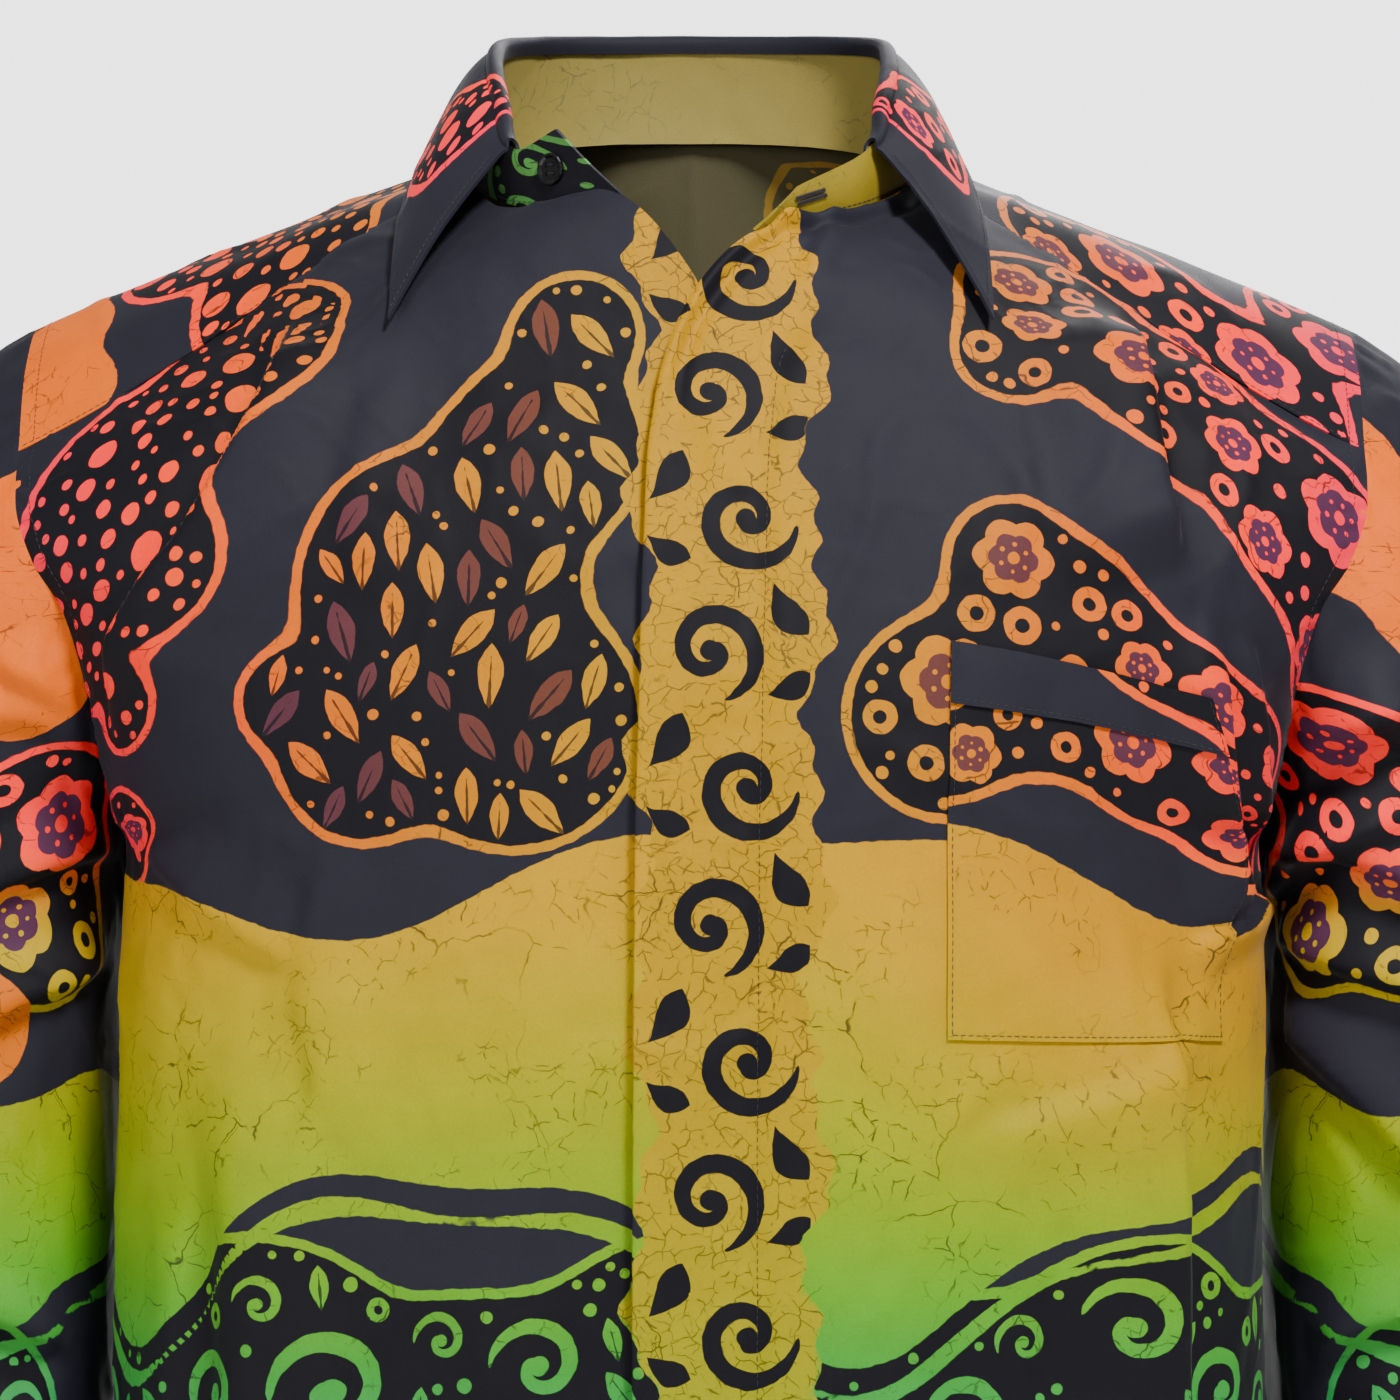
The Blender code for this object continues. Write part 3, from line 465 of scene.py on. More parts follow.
def blended(at, stops):
    """Colours along a ramp of (place, colour) stops."""
    places = [stop[0] for stop in stops]
    colours = np.array([dye(stop[1]) for stop in stops])
    return np.stack([np.interp(at, places, colours[:, k]) for k in range(3)], axis=-1)


# Across the body from the lapped front: yellow, orange, coral, pink.
WARM = ((.00, "926a00"), (.06, "9e5e00"), (.115, "b24e00"), (.165, "da2810"), (.23, "c80138"))
# Down the body: yellow into lime, green, sea green and blue.
COOL = ((-.74, "203a60"), (-.62, "1b5268"), (-.52, "136c56"), (-.455, "187342"), (-.415, "2c7a26"),
        (-.39, "497f12"), (-.365, "627f04"), (-.33, "7a7c00"), (-.29, "8f7a00"), (-.25, "9c7400"))
# Down the lapped band, which keeps its gold far longer.
BAND = ((-.74, "1b5268"), (-.64, "1f6f3c"), (-.55, "4d7f12"), (-.46, "6e7a04"), (-.36, "867200"),
        (-.25, "906c00"), (0, "906600"))
GLOW, GLOW_FROM, GLOW_FULL, GLOW_SHARE = "9a6400", .03, .15, .70
FILLS = ((.05, "4f2a1e"), (.13, "45222a"), (.20, "3e1c33"))
DEEP_FILL = "123234"
TURN_COOL = (-.275, -.235)


def line_dye(u, v):
    """The colour of waxed lines and bands at u, v on the body."""
    warm = blended(np.abs(u - .012) - .012, WARM)
    cool = blended(v, COOL)
    mix = ease((v - TURN_COOL[0]) / (TURN_COOL[1] - TURN_COOL[0]))[..., None]
    return cool * (1 - mix) + warm * mix


def fill_dye(u, v):
    """The darker colour inside motifs."""
    warm = blended(np.abs(u), FILLS)
    mix = ease((v + .36) / .10)[..., None]
    return dye(DEEP_FILL) * (1 - mix) + warm * mix


print("dyes", len(WARM) + len(COOL) + len(BAND) + len(FILLS))

# %% Fields, patches and waves
Field = namedtuple("Field", "filling discs")
Layout = namedtuple("Layout", "name fields patches waves band seed")
BLOSSOMS, LEAVES, SEEDS, SCROLLS = "blossoms", "leaves", "seeds", "scrolls"
CLOUD_SOFTNESS = .007


def cloud(u, v, discs):
    """How deep u, v lies inside a soft union of discs, in metres. Outside it is negative."""
    total = 0.0
    for disc_u, disc_v, radius in discs:
        total = total + np.exp((radius - np.hypot(u - disc_u, v - disc_v)) / CLOUD_SOFTNESS)
    return CLOUD_SOFTNESS * np.log(total + 1e-30)


Wave = namedtuple("Wave", "top bottom top_swing bottom_swing pitch shift")


def inside_wave(u, v, wave):
    """Depth inside a broad rolling band that runs across the cloth, and a thin ribbon under it."""
    turn = 2 * np.pi * u / wave.pitch + wave.shift
    top = wave.top + wave.top_swing * (np.sin(turn) + .35 * np.sin(2.3 * turn + 1.1))
    bottom = wave.bottom + wave.bottom_swing * (np.sin(1.15 * turn + 2.4) + .3 * np.sin(2.6 * turn))
    body = np.minimum(top - v, v - bottom) * .85
    ribbon = .0021 + .0010 * np.sin(3.1 * turn) - np.abs(v - bottom + .011) * .85
    return np.maximum(body, ribbon)


BAND_MIDDLE, BAND_HALF, BAND_LOBE = .0125, .0300, .0455


def inside_band(u, v):
    """Depth inside the light upright band of the lapped front, which has a lobed outline."""
    swing = .0035 * np.sin(np.pi * v / BAND_LOBE)
    lobes = .0028 * np.sin(2 * np.pi * v / BAND_LOBE) + .0016 * np.sin(2 * np.pi * v / .0173 + 1)
    return BAND_HALF + lobes - np.abs(u - BAND_MIDDLE - swing)


def drawn(u, v, layout):
    """(solid, field, band) depths at u, v, with the solids laid over the fields."""
    nothing = np.full(np.shape(u), -.05)
    solid = np.max([inside_wave(u, v, wave) for wave in layout.waves]
                   + [cloud(u, v, patch) for patch in layout.patches] + [nothing], axis=0)
    field = np.max([cloud(u, v, f.discs) for f in layout.fields] + [nothing], axis=0)
    band = inside_band(u, v) if layout.band else nothing
    return np.maximum(solid, nothing), np.maximum(np.minimum(field, -solid + .004), nothing), band


print("fillings", BLOSSOMS, LEAVES, SEEDS, SCROLLS)

# %% [markdown]
# A field is sown from large to small: each motif is dropped at a random place, and stays if it is
# clear of the field's edge, of solid dye and of the motifs already there. The dice are seeded, so
# the cloth comes out the same each time.

# %% Sow the motifs
Sowing = namedtuple("Sowing", "kind radius spread tries tints")
RING, BLOSSOM, LEAF, SEED, SCROLL, TENDRIL, DROP = range(1, 8)
SOWINGS = {
    BLOSSOMS: (Sowing(BLOSSOM, .0158, .0020, 900, 1), Sowing(BLOSSOM, .0110, .0010, 700, 1),
               Sowing(RING, .0060, .0008, 5000, 1), Sowing(SEED, .0022, .0005, 2500, 1)),
    LEAVES: (Sowing(LEAF, .0108, .0012, 12000, 3), Sowing(LEAF, .0080, .0010, 12000, 3),
             Sowing(SEED, .0018, .0005, 2500, 1)),
    SEEDS: (Sowing(SEED, .0062, .0008, 160, 1), Sowing(SEED, .0036, .0008, 1500, 1),
            Sowing(SEED, .0020, .0005, 5000, 1)),
    SCROLLS: (Sowing(SCROLL, .0220, .0030, 1500, 1), Sowing(SCROLL, .0130, .0020, 2500, 1),
              Sowing(LEAF, .0088, .0016, 5000, 1), Sowing(RING, .0050, .0008, 4000, 1),
              Sowing(SEED, .0024, .0008, 5000, 1)),
}
CLEAR = .0017
# How wide each kind is beside its length.
NARROW = {LEAF: .48, DROP: .62}
ROUND_ABOUT = np.linspace(0, 2 * np.pi, 12, endpoint=False)


def gaps(spots, motifs):
    """The gap from each spot to each motif's outline, and the spot's place in the motif."""
    off = np.asarray(spots)[..., None, :] - motifs[:, :2]
    cos, sin = np.cos(motifs[:, 3]), np.sin(motifs[:, 3])
    along = (off[..., 0] * cos + off[..., 1] * sin) / motifs[:, 2]
    across = (off[..., 1] * cos - off[..., 0] * sin) / motifs[:, 2]
    narrow = np.array([NARROW.get(kind, 1.0) for kind in motifs[:, 4]])
    return (np.hypot(along, across / narrow) - 1) * motifs[:, 2] * narrow ** .5


def sow(layout, low, high):
    """Motifs of a layout between two corners of the cloth: u, v, radius, turn, kind, tint."""
    rng = np.random.default_rng(layout.seed)
    sown = np.zeros((0, 6))
    for field in layout.fields:
        for rule in SOWINGS.get(field.filling, ()):
            spots = rng.uniform(low, high, (rule.tries * 4, 2))
            radii = rule.radius + rng.uniform(-rule.spread, rule.spread, len(spots))
            turns = rng.uniform(-.45, .45, len(spots)) + rng.choice([0, .8], len(spots)) + 1.2
            tints = rng.integers(0, rule.tints, len(spots))
            depth = cloud(spots[:, 0], spots[:, 1], field.discs)
            solid, _, band = drawn(spots[:, 0], spots[:, 1], layout)
            room = np.minimum(np.minimum(depth - .0022, -solid - .001), -band)
            narrow = NARROW.get(rule.kind, 1.0)
            for k in np.nonzero(room > radii * .85)[0]:
                cos, sin = np.cos(turns[k]), np.sin(turns[k])
                long, wide = radii[k] * np.cos(ROUND_ABOUT), radii[k] * narrow * np.sin(ROUND_ABOUT)
                rim = spots[k] + np.stack([long * cos - wide * sin, long * sin + wide * cos], -1)
                near = sown[np.hypot(*(sown[:, :2] - spots[k]).T) < radii[k] + sown[:, 2] + CLEAR]
                if len(near) and gaps(np.vstack([rim, spots[k]]), near).min() < CLEAR:
                    continue
                sown = np.vstack([sown, [*spots[k], radii[k], turns[k], rule.kind, tints[k]]])
    return sown


TENDRIL_PITCH, TENDRIL_RADIUS, TENDRIL_SWING = .0455, .0205, .0060
DROP_RADIUS = .0105


def tendrils(low, high):
    """Dark scrolls one above the other down the light band, turned left and right in turn, with
    two drops in the room left beside each."""
    rows = []
    for k in range(int((high - low) / TENDRIL_PITCH)):
        side = 1 if k % 2 else -1
        v = low + TENDRIL_PITCH * (k + .5)
        rows += [[BAND_MIDDLE + TENDRIL_SWING * side, v, TENDRIL_RADIUS, 2.2 * side + .9, TENDRIL,
                  0 if side > 0 else 1],
                 [BAND_MIDDLE - .0200 * side, v + .0150, DROP_RADIUS, 1.0 * side, DROP, 0],
                 [BAND_MIDDLE - .0205 * side, v - .0110, DROP_RADIUS * .8, -.5 * side, DROP, 0]]
    return np.array(rows)


print("sowing rules", {name: len(rules) for name, rules in SOWINGS.items()})

# %% [markdown]
# ## The cloth's material
#
# The drawing reaches the material as depths in metres: how far a point is inside a band, a field or
# a motif. Each becomes a clean edge where it crosses zero. A little noise on the depth makes the
# hand-held wax pen waver. Where wax was laid thickly it cracks, and the dye that runs into the
# cracks leaves fine dark veins on the light parts. The node sums are long, so a small helper lets
# them be written like formulas.

# %% Write node sums as formulas
def feed(tree, socket, source):
    """Give a node's input a socket, an Ink or a plain value."""
    source = getattr(source, "socket", source)
    if isinstance(source, bpy.types.NodeSocket):
        tree.links.new(source, socket)
    else:
        socket.default_value = source


def add_node(tree, kind, inputs, **settings):
    """A shader node with these settings, its inputs fed by name or by number."""
    node = tree.nodes.new("ShaderNode" + kind)
    for name, setting in settings.items():
        setattr(node, name, setting)
    for key, source in inputs.items():
        feed(tree, node.inputs[key], source)
    return node


def joined_by(operation):
    """A method of Ink that does a sum with other numbers."""
    return lambda ink, *others: ink.node(operation, *others)


class Ink:
    """A number in a node tree."""

    def __init__(self, tree, socket):
        self.tree, self.socket = tree, socket

    def node(self, operation, *others):
        inputs = dict(enumerate((self, *others)))
        return Ink(self.tree, add_node(self.tree, "Math", inputs, operation=operation).outputs[0])

    def __rsub__(self, other):
        return self.node("MULTIPLY", -1.0).node("ADD", other)

    __add__ = __radd__ = joined_by("ADD")
    __sub__ = joined_by("SUBTRACT")
    __mul__ = __rmul__ = joined_by("MULTIPLY")
    size, most, least = map(joined_by, ("ABSOLUTE", "MAXIMUM", "MINIMUM"))

    def edge(self, softness):
        """1 inside (above zero), 0 outside, with a soft edge of this half width."""
        inputs = {"Value": self, "From Min": -softness, "From Max": softness}
        ramp = add_node(self.tree, "MapRange", inputs, interpolation_type="SMOOTHSTEP")
        return Ink(self.tree, ramp.outputs["Result"])


class Palette:
    """Shorthand for the nodes that a material is made of."""

    def __init__(self, material):
        material.use_nodes = True
        self.tree = material.node_tree
        self.shader = self.tree.nodes["Principled BSDF"]

    def add(self, kind, inputs=(), **settings):
        return add_node(self.tree, kind, dict(inputs), **settings)

    def attribute(self, name):
        return self.add("Attribute", attribute_name=name)

    def map(self, name):
        return self.add("UVMap", uv_map=name).outputs[0]

    def parts(self, vector_socket):
        return [Ink(self.tree, out) for out in self.add("SeparateXYZ", {0: vector_socket}).outputs]

    def pushed(self, vector_socket, colour, amount):
        """A map pushed about by a colour."""
        inputs = {0: colour, 1: (amount,) * 3, 2: vector_socket}
        return self.add("VectorMath", inputs, operation="MULTIPLY_ADD").outputs[0]

    def noise(self, vector_socket, scale, detail=2.0, rough=.5):
        return self.add("TexNoise", {"Vector": vector_socket, "Scale": scale, "Detail": detail,
                                     "Roughness": rough})

    def clouds(self, *settings):
        """Noise as a number."""
        return Ink(self.tree, self.noise(*settings).outputs[0])

    def value(self, number):
        """A plain number as a socket."""
        node = self.add("Value")
        node.outputs[0].default_value = number
        return Ink(self.tree, node.outputs[0])

    def cracks(self, vector_socket, scale):
        """The distance to the nearest edge of a broken pattern of cells."""
        node = self.add("TexVoronoi", {"Vector": vector_socket, "Scale": scale},
                        voronoi_dimensions="2D", feature="DISTANCE_TO_EDGE")
        return Ink(self.tree, node.outputs["Distance"])

    def mixed(self, amount, below, above):
        """above over below, by amount. Colours are sockets or RGB values."""
        below, above = (colour if isinstance(colour, bpy.types.NodeSocket) else (*colour, 1)
                        for colour in (below, above))
        return self.add("Mix", {"Factor": amount, 6: below, 7: above}, data_type="RGBA").outputs[2]

    def shaded(self, colour, factor):
        """A colour made lighter or darker by a number."""
        return self.add("VectorMath", {0: colour, "Scale": factor}, operation="SCALE").outputs[0]

    def feed(self, name, source):
        """Feed one of the shader's own inputs."""
        feed(self.tree, self.shader.inputs[name], source)

    def bumped(self, height, strength, distance):
        bump = self.add("Bump", {"Height": height, "Strength": strength, "Distance": distance})
        self.feed("Normal", bump.outputs["Normal"])


print("node helpers ready")

# %% [markdown]
# Each motif is drawn in its own small square, where its edge lies at about 1 from its middle. A
# point is turned into a distance and an angle round that middle, and the outlines follow.

# %% Draw the motifs
TURN = 2 * math.pi
LINE_HALF = .00165
# How often each kind of spiral winds round, up to which turn it is drawn, and its line's width.
SCROLL_TURNS, SCROLL_LAST, SCROLL_WIDTH = 1.55, 1.30, .17
TENDRIL_TURNS, TENDRIL_LAST, TENDRIL_WIDTH = 1.78, 1.50, .19
SPIRAL_FIRST, SPIRAL_HEART = .05, .17
# How far the wax pen wavers, and how soft the edge of its line is.
WAVER, EDGE_SOFT = .0011, .00016


def is_kind(kind, number):
    return (kind - number).size().node("LESS_THAN", .5)


def spiral(far, angle, turns_each, first, last, width):
    """Depth inside a spiral line that thickens outwards."""
    winding = far * turns_each - angle * (1 / TURN)
    arm = winding.node("ROUND")
    total = arm + angle * (1 / TURN)
    off = (winding - arm).size() * (1 / turns_each)
    tip = ((last - total) * 3.2).most(0).least(1).node("SQRT")
    swell = (total * (width * .55 / last) + width * .45) * tip
    return (swell - off).least((total - first) * .5).least((last - total) * 4)


def draw_motifs(paint):
    """Masks of light, of fill and of dark for all motifs."""
    x, y, _ = paint.parts(paint.map("motif_place"))
    kind, tint, size = paint.parts(paint.attribute("motif").outputs["Vector"])
    waver = paint.clouds(paint.map("cut"), 210, 1.0) - .5
    far = (x * x + y * y).node("SQRT")
    angle = y.node("ARCTAN2", x)

    def mask(depth, softness=EDGE_SOFT):
        return (depth * size + waver * WAVER).edge(softness)

    petal = (angle * 3).node("COSINE").size()
    blossom = petal * .17 + .80 - far
    heart = petal * .10 + .50 - far
    nearest = (angle * (6 / TURN)).node("FRACT") - .5
    beside = (nearest * (TURN / 6 * .33)).node("POWER", 2)
    stamens = .055 - (beside + (far - .33).node("POWER", 2)).node("SQRT")
    dotted = heart.least(stamens * -1).least(far - .15)
    ring = .30 - (far - .68).size()
    leaf_width = (1 - x * x) * (x * .10 + .40)
    leaf = leaf_width - y.size()
    rib = (1 - x) * .035 - y.size()
    seed = .88 - far
    scroll = spiral(far, angle, SCROLL_TURNS, SPIRAL_FIRST, SCROLL_LAST, SCROLL_WIDTH)
    tendril = spiral(far, angle, TENDRIL_TURNS, SPIRAL_FIRST, TENDRIL_LAST, TENDRIL_WIDTH)
    scroll, tendril = scroll.most(SPIRAL_HEART - far), tendril.most(SPIRAL_HEART - far)
    drop = (1 - x * x) * (x * .28 + .50) - (y - x * x * .20 + .08).size()
    tint_two = (tint - 1.5).edge(.1)
    light = is_kind(kind, BLOSSOM) * mask(blossom) * (1 - mask(dotted))
    for number, depth in ((RING, ring), (SEED, seed), (SCROLL, scroll)):
        light = light.most(is_kind(kind, number) * mask(depth))
    leaf_mask = is_kind(kind, LEAF) * mask(leaf)
    leaf_mask = leaf_mask * (1 - mask(rib.least(.62 - x), .0001) * .85)
    light = light.most(leaf_mask * (1 - tint_two))
    fill = (is_kind(kind, BLOSSOM) * mask(dotted)).most(leaf_mask * tint_two)
    dark = (is_kind(kind, TENDRIL) * mask(tendril)).most(is_kind(kind, DROP) * mask(drop))
    return light, fill, dark, waver


print("motifs drawn with lines", LINE_HALF * 2000, "mm wide")

# %% Dye the cloth
INDIGO = dye("191820")
NEAR_BLACK = dye("0c0b10")
VEIN = dye("1e1b10")
WASHED = dye("8a8256")
THREAD_PITCH = .00052


def batik_material(name, paleness):
    """Waxed and dyed cotton. Paleness is how washed-out this side of the cloth looks."""
    material = bpy.data.materials.new(name)
    paint = Palette(material)
    cut = paint.map("cut")
    light, fill, dark, waver = draw_motifs(paint)
    solid, field, band = paint.parts(paint.attribute("depths").outputs["Vector"])
    shiver = waver * .0012
    in_field = (field + shiver - .0004).edge(.0003)
    border = (LINE_HALF - (field + shiver).size()).edge(.0002)
    in_solid = (solid + shiver).edge(.0002)
    in_band = (band + shiver * 1.6).edge(.0002)

    ground = paint.mixed(in_field, INDIGO, NEAR_BLACK)
    light_all = light.most(border)
    colour = ground
    for amount, key in ((light_all, "line_dye"), (fill, "fill_dye"), (in_solid, "solid_dye"),
                        (in_band, "line_dye")):
        colour = paint.mixed(amount, colour, paint.attribute(key).outputs["Color"])
    colour = paint.mixed(dark * in_band, colour, NEAR_BLACK)
    waxed = light_all.most(in_solid).most(in_band) * (1 - dark * in_band)

    def broken(scale, cut_off):
        return (paint.clouds(cut, scale) - cut_off).edge(.05)

    drift, fray = (paint.noise(cut, *settings).outputs["Color"] for settings in ((34, 3.0), (160,)))
    warped = paint.pushed(paint.pushed(cut, drift, .022), fray, .0042)
    long_veins = (.013 - paint.cracks(warped, 46)).edge(.010) * broken(13, .535) * broken(120, .46)
    short_veins = (.026 - paint.cracks(warped, 128)).edge(.022) * broken(26, .525) * broken(210, .49)
    band_veins = (.034 - paint.cracks(warped, 165)).edge(.030) * broken(150, .47) * in_band
    veins = long_veins.most(short_veins * .8).most(band_veins * .85)
    colour = paint.mixed(veins * waxed * .85, colour, VEIN)

    cloudy, streaky = paint.clouds(cut, 38, 4.0, .6), paint.clouds(cut, 900, 1.0)
    colour = paint.shaded(colour, (cloudy - .5) * .34 + (streaky - .5) * .20 + 1.0)
    if paleness:
        colour = paint.mixed(paint.value(paleness), colour, WASHED)
    paint.feed("Base Color", colour)

    u, v, _ = paint.parts(cut)
    threads = TURN / THREAD_PITCH
    weave = (u * threads).node("SINE") * (v * threads).node("SINE")
    slub = paint.clouds(cut, 1500)
    paint.bumped(weave * .30 + slub * .8 + cloudy * 1.5, .28, .00035)
    paint.feed("Roughness", cloudy * .16 + waxed * -.05 + .50)
    paint.feed("Specular IOR Level", .08)
    paint.feed("Sheen Weight", .03)
    paint.feed("Sheen Roughness", .35)
    return material


face_side = batik_material("batik_face", 0)
back_side = batik_material("batik_reverse", .30)
print("materials", face_side.name, back_side.name)

# %% [markdown]
# ## Making one cloth piece
#
# Every panel goes through the same steps as on a sewing table: lay out the grid, mark the print on
# it, shape it, and give it its thickness. The face and the reverse have a finish each, because dye
# is always a little paler on the side away from the wax pen.

# %% Make a cloth piece
Place = namedtuple("Place", "cut solid_dye line_dye fill_dye depths motifs")
WELD, SMOOTH_UP_TO = 1e-5, math.radians(55)
# Motifs are looked up for this many faces at a time, and shown a little past their outline.
BATCH, PAST_OUTLINE = 4000, .0012


def put(mesh, name, kind, domain, values):
    attribute = mesh.attributes.new(name, kind, domain)
    key = "color" if kind == "FLOAT_COLOR" else "vector"
    attribute.data.foreach_set(key, np.ascontiguousarray(values, np.float32).ravel())


def motif_places(centres, corners, motifs):
    """For each face: (kind, tint, radius), and for each corner its place in the nearest motif."""
    facts = np.zeros((len(centres), 3))
    local = np.zeros(corners.shape)
    if not len(motifs):
        return facts, local
    for start in range(0, len(centres), BATCH):
        part = slice(start, start + BATCH)
        gap = gaps(centres[part], motifs)
        nearest = gap.argmin(axis=1)
        near = motifs[nearest]
        shown = gap[np.arange(len(nearest)), nearest] < CLEAR + PAST_OUTLINE
        facts[part] = np.stack([near[:, 4] * shown, near[:, 5], near[:, 2]], axis=-1)
        off = corners[part] - near[:, None, :2]
        cos, sin = np.cos(near[:, 3])[:, None], np.sin(near[:, 3])[:, None]
        along, across = off[..., 0] * cos + off[..., 1] * sin, off[..., 1] * cos - off[..., 0] * sin
        along = along * np.where((near[:, 4] == TENDRIL) & (near[:, 5] == 1), -1, 1)[:, None]
        local[part] = np.stack([along, across], axis=-1) / near[:, 2, None, None]
    return facts, local


def grid_part(name, points, marks, outward):
    """A grid primitive moved onto the points, with the print marked on it."""
    rows, columns = points.shape[:2]
    bpy.ops.mesh.primitive_grid_add(x_subdivisions=columns - 1, y_subdivisions=rows - 1, size=2)
    piece = bpy.context.object
    piece.name = piece.data.name = name
    mesh = piece.data
    flat = np.empty(len(mesh.vertices) * 3, np.float32)
    mesh.vertices.foreach_get("co", flat)
    flat = flat.reshape(-1, 3)
    column = np.rint((flat[:, 0] + 1) / 2 * (columns - 1)).astype(int)
    row = np.rint((flat[:, 1] + 1) / 2 * (rows - 1)).astype(int)
    place = row * columns + column
    mesh.vertices.foreach_set("co", points.reshape(-1, 3)[place].astype(np.float32).ravel())
    for key in ("line_dye", "fill_dye", "solid_dye"):
        rgb = getattr(marks, key).reshape(-1, 3)[place]
        put(mesh, key, "FLOAT_COLOR", "POINT", np.hstack([rgb, np.ones((len(rgb), 1))]))
    put(mesh, "depths", "FLOAT_VECTOR", "POINT", marks.depths.reshape(-1, 3)[place])

    corner = np.empty(len(mesh.loops), np.int32)
    mesh.loops.foreach_get("vertex_index", corner)
    flat_cut = marks.cut.reshape(-1, 2)[place[corner]]
    mesh.uv_layers.active.name = "cut"
    mesh.uv_layers["cut"].data.foreach_set("uv", flat_cut.astype(np.float32).ravel())
    corners = flat_cut.reshape(-1, 4, 2)
    facts, local = motif_places(corners.mean(axis=1), corners, marks.motifs)
    put(mesh, "motif", "FLOAT_VECTOR", "FACE", facts)
    mesh.uv_layers.new(name="motif_place")
    mesh.uv_layers["motif_place"].data.foreach_set("uv", local.astype(np.float32).ravel())
    mesh.uv_layers["cut"].active_render = True

    mesh.update()
    normal = np.empty(len(mesh.polygons) * 3, np.float32)
    mesh.polygons.foreach_get("normal", normal)
    facing = np.einsum("ij,ij->i", normal.reshape(-1, 3),
                       outward.reshape(-1, 3)[place[corner[::4]]]).mean()
    if facing < 0:
        mesh.flip_normals()
    return piece


def cloth_piece(node, parts, thick, weld):
    """A thin shell of cloth for a CAD node, from (points, marks, outward) for each of its grids."""
    name = node + "_cloth"
    made = [grid_part(name, *part) for part in parts]
    bpy.ops.object.select_all(action="DESELECT")
    for piece in made:
        piece.select_set(True)
    piece = made[0]
    bpy.context.view_layer.objects.active = piece
    if len(made) > 1:
        bpy.ops.object.join()
    if weld:
        bpy.ops.object.mode_set(mode="EDIT")
        bpy.ops.mesh.select_all(action="SELECT")
        bpy.ops.mesh.remove_doubles(threshold=WELD)
        bpy.ops.object.mode_set(mode="OBJECT")
    piece.data.materials.clear()
    piece.data.materials.append(face_side)
    piece.data.materials.append(back_side)
    wall = piece.modifiers.new("cloth", "SOLIDIFY")
    wall.thickness = thick
    wall.offset = -1
    wall.material_offset = 1
    bpy.ops.object.modifier_apply(modifier="cloth")
    bpy.ops.object.shade_smooth_by_angle(angle=SMOOTH_UP_TO)
    piece.select_set(False)
    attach(piece, "root")
    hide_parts(node)
    print(name, len(piece.data.polygons), "faces")
    return piece


PATCH = ((-.30, "a85200"), (-.20, "b85200"), (-.12, "c05000"), (-.04, "b85000"))
OLIVE = dye("6c5c16")
STAND_GREEN = dye("3a6a30")


def marked(cut, layout, motifs, warm_from=0.0, solid=None, lines=None):
    """Everything the print needs at each point of a piece."""
    u, v = cut[..., 0], cut[..., 1]
    across = np.abs(u) * (1 if warm_from == 0 else .25) + warm_from
    nothing = np.full(u.shape, -.05)
    patch = np.max([cloud(u, v, discs) for discs in layout.patches] + [nothing], axis=0)
    wave = np.max([inside_wave(u, v, wave) for wave in layout.waves] + [nothing], axis=0)
    over = ease((patch - wave) / .01 + .5)[..., None]
    solid_dye = blended(v, PATCH) * over + blended(v, COOL) * (1 - over)
    if layout.band:
        glow = ease((u - GLOW_FROM) / (GLOW_FULL - GLOW_FROM)) * ease((v + .39) / .12) * GLOW_SHARE
        solid_dye = solid_dye + (dye(GLOW) - solid_dye) * (glow[..., None] * (1 - over))
    if solid is not None:
        solid_dye = np.broadcast_to(solid, solid_dye.shape)
    lines_dye = line_dye(across, v)
    depths = drawn(u, v, layout)
    if layout.band:
        in_band = ease(depths[2] / .001 + .5)[..., None]
        lines_dye = lines_dye * (1 - in_band) + blended(v, BAND) * in_band
    if lines is not None:
        lines_dye = np.broadcast_to(lines, lines_dye.shape)
    return Place(cut, solid_dye, lines_dye, fill_dye(across, v),
                 np.stack(depths, axis=-1), motifs)


def printed(node, grids, layout, motifs, thick=CLOTH_THICK, weld=False, **print_settings):
    """A cloth piece from (points, normals, flat) for each of its grids, with its print marked."""
    parts = [(points, marked(flat, layout, motifs, **print_settings), normals)
             for points, normals, flat in grids]
    return cloth_piece(node, parts, thick, weld)


print("cloth pieces ready to be made")

# %% [markdown]
# ## The print's layout on each part of the shirt
#
# Discs are given as u, v, radius on the flat cloth. On the body u is the distance from the centre
# front (the wearer's left is positive) and v is about the height. The same rolling bands run round
# the whole body, so they meet at the side seams.

# %% Lay out the print
BODY_WAVES = (Wave(-.250, -.375, .016, .030, .335, .9), Wave(-.600, -.655, .012, .014, .290, 2.2))
SLEEVE_WAVES = (Wave(-.338, -.398, .010, .014, .21, .4), Wave(-.530, -.560, .006, .007, .17, 1.0))
